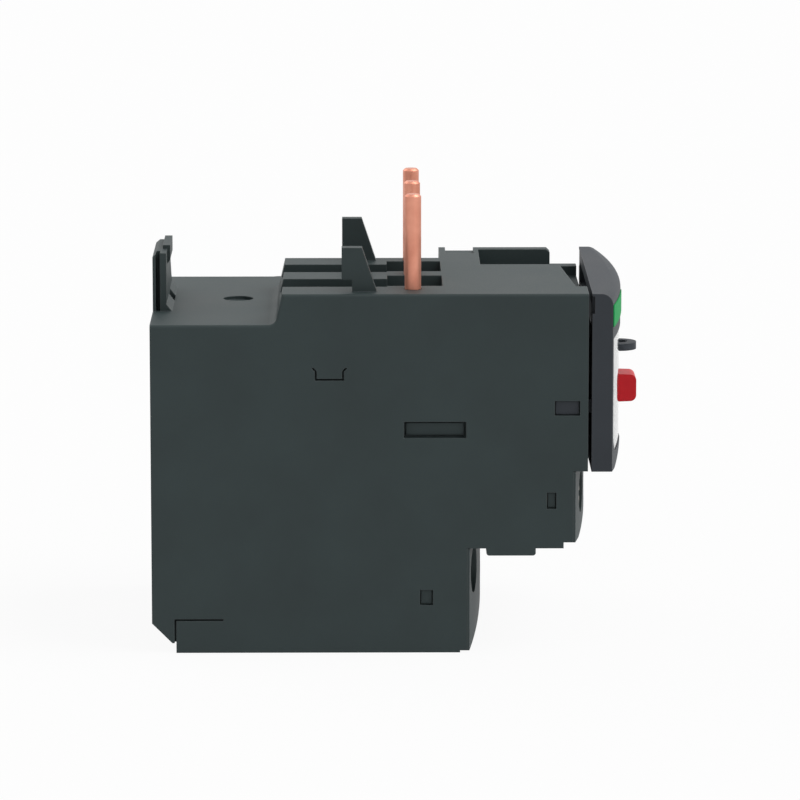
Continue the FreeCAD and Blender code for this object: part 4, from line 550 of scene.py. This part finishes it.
@dataclass
class FrontPanel:
    """The bezel with its pale fascia, the printed scale and the clear cover."""

    paint: Paint
    scale_radius: float = 5.75 * MM
    tick_length: float = 0.9 * MM
    short_tick: float = 0.6
    tick_width: float = 0.16 * MM
    tick_count: int = 13
    half_sweep: float = math.radians(130.0)
    number_radius: float = 7.6 * MM
    number_height: float = 1.55 * MM
    first_number: int = 4
    ticks_a_number: int = 4
    print_lift: float = 0.02 * MM
    frame_width: float = 0.14 * MM
    frame_side: float = 0.1 * MM
    frame_margin: float = 0.5 * MM
    frame_steps: int = 8

    def build(self, frame: dict) -> list[bpy.types.Object]:
        """Dress the panel and print its marks."""
        finishes = {"front_bezel": Finish.BEZEL, "fascia_plate": Finish.FASCIA,
                    "name_inlay": Finish.INLAY, "clear_cover": Finish.CLEAR}
        for node, finish in finishes.items():
            self.paint.dress(frame["nodes"][node], finish)
        low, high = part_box("fascia_plate")
        face = BowedFace(tip=low.y, half_chord=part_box("main_housing")[1].x)
        dial_low, dial_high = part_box("setting_dial")
        centre = np.array([(dial_low.x + dial_high.x) / 2.0, (dial_low.z + dial_high.z) / 2.0])
        pieces = [self.scale_ticks(face, centre)]
        pieces += self.scale_numbers(face, centre)
        pieces.append(self.control_frames(face))
        for piece in pieces:
            self.paint.dress(piece, Finish.DARK_INK)
            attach(piece, "relay")
        return pieces

    def scale_ticks(self, face: BowedFace, centre: np.ndarray) -> bpy.types.Object:
        """Radial ticks round the dial: bars at even angles, longer at each number."""
        bars = []
        for step, angle in enumerate(np.linspace(-self.half_sweep, self.half_sweep,
                                                 self.tick_count)):
            ray = np.array([math.sin(angle), math.cos(angle)])
            length = self.tick_length
            if step % self.ticks_a_number:
                length *= self.short_tick
            bars.append(face.wrap(bar_strip(centre + ray * self.scale_radius,
                                            centre + ray * (self.scale_radius + length),
                                            self.tick_width, 1), self.print_lift))
        return strips("scale_ticks", bars)

    def scale_numbers(self, face: BowedFace, centre: np.ndarray) -> list[bpy.types.Object]:
        """Plain numbers at the longer ticks, upright on the fascia."""
        pieces = []
        angles = np.linspace(-self.half_sweep, self.half_sweep, self.tick_count)
        angles = angles[::self.ticks_a_number]
        for place, angle in enumerate(angles):
            ray = np.array([math.sin(angle), math.cos(angle)])
            text = str(self.first_number + place)
            pieces.append(self.printed_text(f"scale_number_{place + 1}", text, face,
                                            centre + ray * self.number_radius,
                                            self.number_height))
        return pieces

    def printed_text(self, name: str, text: str, face: BowedFace, spot: np.ndarray,
                     height: float) -> bpy.types.Object:
        """Letter a word flat on the bowed face, centred on a spot."""
        curve = bpy.data.curves.new(name, "FONT")
        curve.body = text
        curve.size = height
        curve.align_x = "CENTER"
        curve.align_y = "CENTER"
        curve.resolution_u = 3
        writing = bpy.data.objects.new(name, curve)
        mesh = bpy.data.meshes.new_from_object(writing)
        bpy.data.objects.remove(writing)
        flat = np.zeros(len(mesh.vertices) * 3)
        mesh.vertices.foreach_get("co", flat)
        placed = face.wrap(flat.reshape(-1, 3)[:, :2] + spot, self.print_lift)
        mesh.vertices.foreach_set("co", placed.ravel())
        mesh.update()
        item = bpy.data.objects.new(name, mesh)
        bpy.context.scene.collection.objects.link(item)
        return item

    def control_frames(self, face: BowedFace) -> bpy.types.Object:
        """A thin line round the stop button: a hollow rectangle in short steps."""
        stop_low, stop_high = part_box("stop_button")
        left, right = stop_low.x - self.frame_side, stop_high.x + self.frame_side
        low, high = stop_low.z - self.frame_margin, stop_high.z + self.frame_margin
        ring = np.array([[left, low], [right, low], [right, high], [left, high]])
        bars = [face.wrap(bar_strip(start, end, self.frame_width, self.frame_steps),
                          self.print_lift)
                for start, end in zip(ring, np.roll(ring, -1, axis=0))]
        return strips("control_frame", bars)


@dataclass(frozen=True)
class CoilSpring:
    """A compression spring of round wire along Y, its end turns closed up.

    The wire's centre runs at radius r round the axis while Y climbs by a smooth step
    that is slow over both end turns. A ring of points stands square to the wire at each
    step of the helix.
    """

    low: np.ndarray
    high: np.ndarray
    wire: float = 0.32 * MM
    edge_gap: float = 0.12
    closed_pitch: float = 1.04
    turns: float = 4.0
    closed: float = 0.75
    steps_a_turn: int = 28
    sides: int = 10

    def centre_line(self) -> np.ndarray:
        """Points along the wire's centre."""
        middle = (self.low + self.high) / 2.0
        radius = (self.high[0] - self.low[0]) / 2.0 - self.wire * (0.5 + self.edge_gap)
        turn = np.linspace(0.0, self.turns, int(self.turns * self.steps_a_turn) + 1)
        start, end = self.low[1] + self.wire / 2.0, self.high[1] - self.wire / 2.0
        flat = self.wire * self.closed_pitch
        rise = np.interp(turn, [0.0, self.closed, self.turns - self.closed, self.turns],
                         [start, start + flat * self.closed, end - flat * self.closed, end])
        angle = 2.0 * math.pi * turn
        return np.stack([middle[0] + radius * np.cos(angle), rise,
                         middle[2] + radius * np.sin(angle)], axis=-1)

    def build(self, name: str) -> bpy.types.Object:
        """Wrap a ring of points round the centre line and close both ends."""
        line = self.centre_line()
        along = np.gradient(line, axis=0)
        along /= np.linalg.norm(along, axis=1, keepdims=True)
        axis = np.array([0.0, 1.0, 0.0])
        across = np.cross(along, axis)
        across /= np.linalg.norm(across, axis=1, keepdims=True)
        up = np.cross(across, along)
        angle = 2.0 * math.pi * np.arange(self.sides) / self.sides
        ring = (across[:, None] * np.cos(angle)[:, None] + up[:, None] * np.sin(angle)[:, None])
        skin = (line[:, None] + ring * self.wire / 2.0).reshape(-1, 3)
        rows = len(line)
        index = np.arange(rows * self.sides).reshape(rows, self.sides)
        after = np.roll(index, -1, axis=1)
        walls = np.stack([index[:-1], after[:-1], after[1:], index[1:]], axis=-1).reshape(-1, 4)
        caps = [index[0][::-1].tolist(), index[-1].tolist()]
        mesh = bpy.data.meshes.new(name)
        mesh.from_pydata(skin.tolist(), [], walls.tolist() + caps)
        mesh.shade_smooth()
        mesh.update()
        item = bpy.data.objects.new(name, mesh)
        bpy.context.scene.collection.objects.link(item)
        return item


@dataclass
class Controls:
    """Buttons, their stems and springs, the dial with its pointer, and the cam gear."""

    paint: Paint
    pointer_length: float = 2.6 * MM
    pointer_width: float = 1.5 * MM
    pointer_start: float = 2.0 * MM
    print_lift: float = 0.02 * MM

    def build(self, frame: dict) -> list[bpy.types.Object]:
        """Dress the controls and print the dial's pointer."""
        finishes = {
            "stop_button": Finish.RED_BUTTON, "reset_knob": Finish.BLUE_BUTTON,
            "reset_stem": Finish.STEM, "test_plunger": Finish.STEM,
            "setting_dial": Finish.DIAL, "setting_cam": Finish.DIAL,
            "cam_follower": Finish.MECHANISM, "calibration_screw": Finish.SCREW_STEEL,
        }
        for node, finish in finishes.items():
            self.paint.dress(frame["nodes"][node], finish)
        pointer = self.pointer()
        self.paint.dress(pointer, Finish.DARK_INK)
        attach(pointer, "dial")
        return [pointer, self.spring("stop"), self.spring("reset")]

    def spring(self, button: str) -> bpy.types.Object:
        """The coil behind a button, built in the box of the button's spring solid, which it
        replaces and hides.
        """
        node = f"{button}_spring"
        low, high = (np.array(corner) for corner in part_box(node))
        coil = CoilSpring(low, high).build(f"{button}_coil")
        self.paint.dress(coil, Finish.SPRING_STEEL)
        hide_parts(node)
        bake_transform(coil)
        return coil

    def pointer(self) -> bpy.types.Object:
        """A triangle on the dial's face that points up at the scale."""
        low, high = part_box("setting_dial")
        centre_x, centre_z = (low.x + high.x) / 2.0, (low.z + high.z) / 2.0
        y = low.y - self.print_lift
        half = self.pointer_width / 2.0
        base = centre_z + self.pointer_start
        points = np.array([[centre_x - half, y, base], [centre_x + half, y, base],
                           [centre_x, y, base + self.pointer_length]])
        return solid("dial_pointer", points, np.array([[0, 1, 2]]))


@dataclass
class Poles:
    """The three current paths with their pins, heaters, strips and clamps."""

    paint: Paint
    count: int = 3

    def build(self, frame: dict) -> list[bpy.types.Object]:
        """Dress the pieces of every pole."""
        finishes = {
            "contact_pin": Finish.COPPER, "heater_winding": Finish.HEATER,
            "bimetal_strip": Finish.BIMETAL, "terminal_plate": Finish.TERMINAL_METAL,
            "power_saddle": Finish.CLAMP_STEEL, "power_screw": Finish.SCREW_STEEL,
        }
        for stem, finish in finishes.items():
            for number in range(1, self.count + 1):
                self.paint.dress(frame["nodes"][f"{stem}_{number}"], finish)
        return []


@dataclass
class AuxiliaryTerminals:
    """The four control terminals."""

    paint: Paint
    count: int = 4

    def build(self, frame: dict) -> list[bpy.types.Object]:
        """Dress the pieces of every control terminal."""
        finishes = {"aux_terminal": Finish.TERMINAL_METAL, "aux_clamp": Finish.CLAMP_STEEL,
                    "aux_screw": Finish.SCREW_STEEL}
        for stem, finish in finishes.items():
            for number in range(1, self.count + 1):
                self.paint.dress(frame["nodes"][f"{stem}_{number}"], finish)
        return []


@dataclass
class TripTrain:
    """The bars, lever, rocker and contacts inside, and the frame that carries them."""

    paint: Paint

    def build(self, frame: dict) -> list[bpy.types.Object]:
        """Dress the mechanism."""
        finishes = {
            "mechanism_frame": Finish.FRAME, "slide_bar": Finish.MECHANISM,
            "differential_bar": Finish.MECHANISM, "trip_lever": Finish.MECHANISM,
            "contact_rocker": Finish.MECHANISM, "compensating_strip": Finish.BIMETAL,
            "lever_pin": Finish.SPRING_STEEL, "trip_flag": Finish.SIGNAL,
            "nc_bridge": Finish.CONTACT_METAL, "no_bridge": Finish.CONTACT_METAL,
        }
        for node, finish in finishes.items():
            self.paint.dress(frame["nodes"][node], finish)
        return []


# ------------------------------------------------------------------------------ studio
@dataclass(frozen=True)
class Lamp:
    """A distant soft lamp: where it stands, seen from the object, and its strength."""

    name: str
    towards: Colour
    strength: float
    spread: float


@dataclass
class Studio:
    """Plain pale floor, soft lamps and the camera."""

    floor_half: float = 3.0
    floor_glow: float = 0.93
    shown: tuple[str, ...] = ("Is Camera Ray", "Is Glossy Ray", "Is Transmission Ray")
    floor_colour: Colour = (0.84, 0.84, 0.84)
    sky: float = 0.42
    lens: float = 231.4
    stand: Colour = (-0.73804, 0.00599, 0.16601)
    dip: float = math.radians(10.25)
    turn: float = math.radians(0.49)
    lamps: tuple[Lamp, ...] = (
        Lamp("key", (-0.14, -0.70, 1.0), 1.5, math.radians(40.0)),
        Lamp("fill", (-1.0, -0.80, 0.60), 0.3, math.radians(60.0)),
        Lamp("rim", (0.6, 0.8, 0.7), 0.4, math.radians(40.0)),
    )

    def build(self) -> None:
        """Set up the floor, the world, the lamps and the camera."""
        self.floor()
        self.world()
        for lamp in self.lamps:
            self.lamp(lamp)
        self.camera()
        bpy.context.scene.view_settings.view_transform = "Standard"

    def floor(self) -> None:
        """A wide flat floor just under the object."""
        half = self.floor_half
        span = np.array([-half, half])
        x, y = np.meshgrid(span, span, indexing="xy")
        points = np.stack([x, y, np.zeros_like(x)], axis=-1)
        ground = sheet("floor", points)
        shader = Shader("floor")
        seen = sum((shader.node("ShaderNodeLightPath", output=name) for name in self.shown),
                   0.0).clamp()
        matt = shader.node("ShaderNodeBsdfDiffuse", None, {"Color": (*self.floor_colour, 1.0)})
        glow = shader.node("ShaderNodeEmission", None, {"Color": (1.0, 1.0, 1.0, 1.0),
                                                        "Strength": 1.0})
        shader.node_output(shader.node("ShaderNodeMixShader", None,
                                       {0: seen * self.floor_glow, 1: matt, 2: glow}))
        ground.data.materials.append(shader.material)

    def world(self) -> None:
        """An even sky that lights at one strength and shows as white."""
        world = bpy.data.worlds.new("studio")
        bpy.context.scene.world = world
        world.use_nodes = True
        tree = world.node_tree
        tree.nodes.clear()
        path = tree.nodes.new("ShaderNodeLightPath")
        seen = path.outputs[self.shown[0]]
        for name in self.shown[1:]:
            either = tree.nodes.new("ShaderNodeMath")
            either.operation = "MAXIMUM"
            tree.links.new(seen, either.inputs[0])
            tree.links.new(path.outputs[name], either.inputs[1])
            seen = either.outputs[0]
        blend = tree.nodes.new("ShaderNodeMixShader")
        tree.links.new(seen, blend.inputs[0])
        for slot, strength in ((1, self.sky), (2, 1.0)):
            light = tree.nodes.new("ShaderNodeBackground")
            light.inputs["Color"].default_value = (1.0, 1.0, 1.0, 1.0)
            light.inputs["Strength"].default_value = strength
            tree.links.new(light.outputs[0], blend.inputs[slot])
        end = tree.nodes.new("ShaderNodeOutputWorld")
        tree.links.new(blend.outputs[0], end.inputs["Surface"])

    def lamp(self, lamp: Lamp) -> None:
        """Hang one distant lamp that shines at the object."""
        data = bpy.data.lights.new(lamp.name, "SUN")
        data.energy = lamp.strength
        data.angle = lamp.spread
        item = bpy.data.objects.new(lamp.name, data)
        item.rotation_euler = Vector(lamp.towards).to_track_quat("Z", "Y").to_euler()
        item.location = Vector(lamp.towards)
        bpy.context.scene.collection.objects.link(item)

    def camera(self) -> None:
        """A long lens at the left of the object, a little above it."""
        data = bpy.data.cameras.new("camera")
        data.lens = self.lens
        data.sensor_width = 36.0
        data.clip_start = 0.01
        item = bpy.data.objects.new("camera", data)
        item.location = self.stand
        quarter = math.pi / 2.0
        item.rotation_euler = Euler((quarter - self.dip, 0.0, -quarter - self.turn), "XYZ")
        bpy.context.scene.collection.objects.link(item)
        bpy.context.scene.camera = item


def main() -> None:
    """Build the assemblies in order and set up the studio."""
    logging.basicConfig(level=logging.INFO, format="%(name)s: %(message)s")
    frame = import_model()
    paint = Paint()
    Studio().build()
    for assembly in (Housing(paint), FrontPanel(paint), Controls(paint), Poles(paint),
                     AuxiliaryTerminals(paint), TripTrain(paint)):
        for piece in assembly.build(frame):
            LOG.info("%s: %s with %d faces", type(assembly).__name__, piece.name,
                     len(piece.data.polygons))


if __name__ == "__main__":
    main()
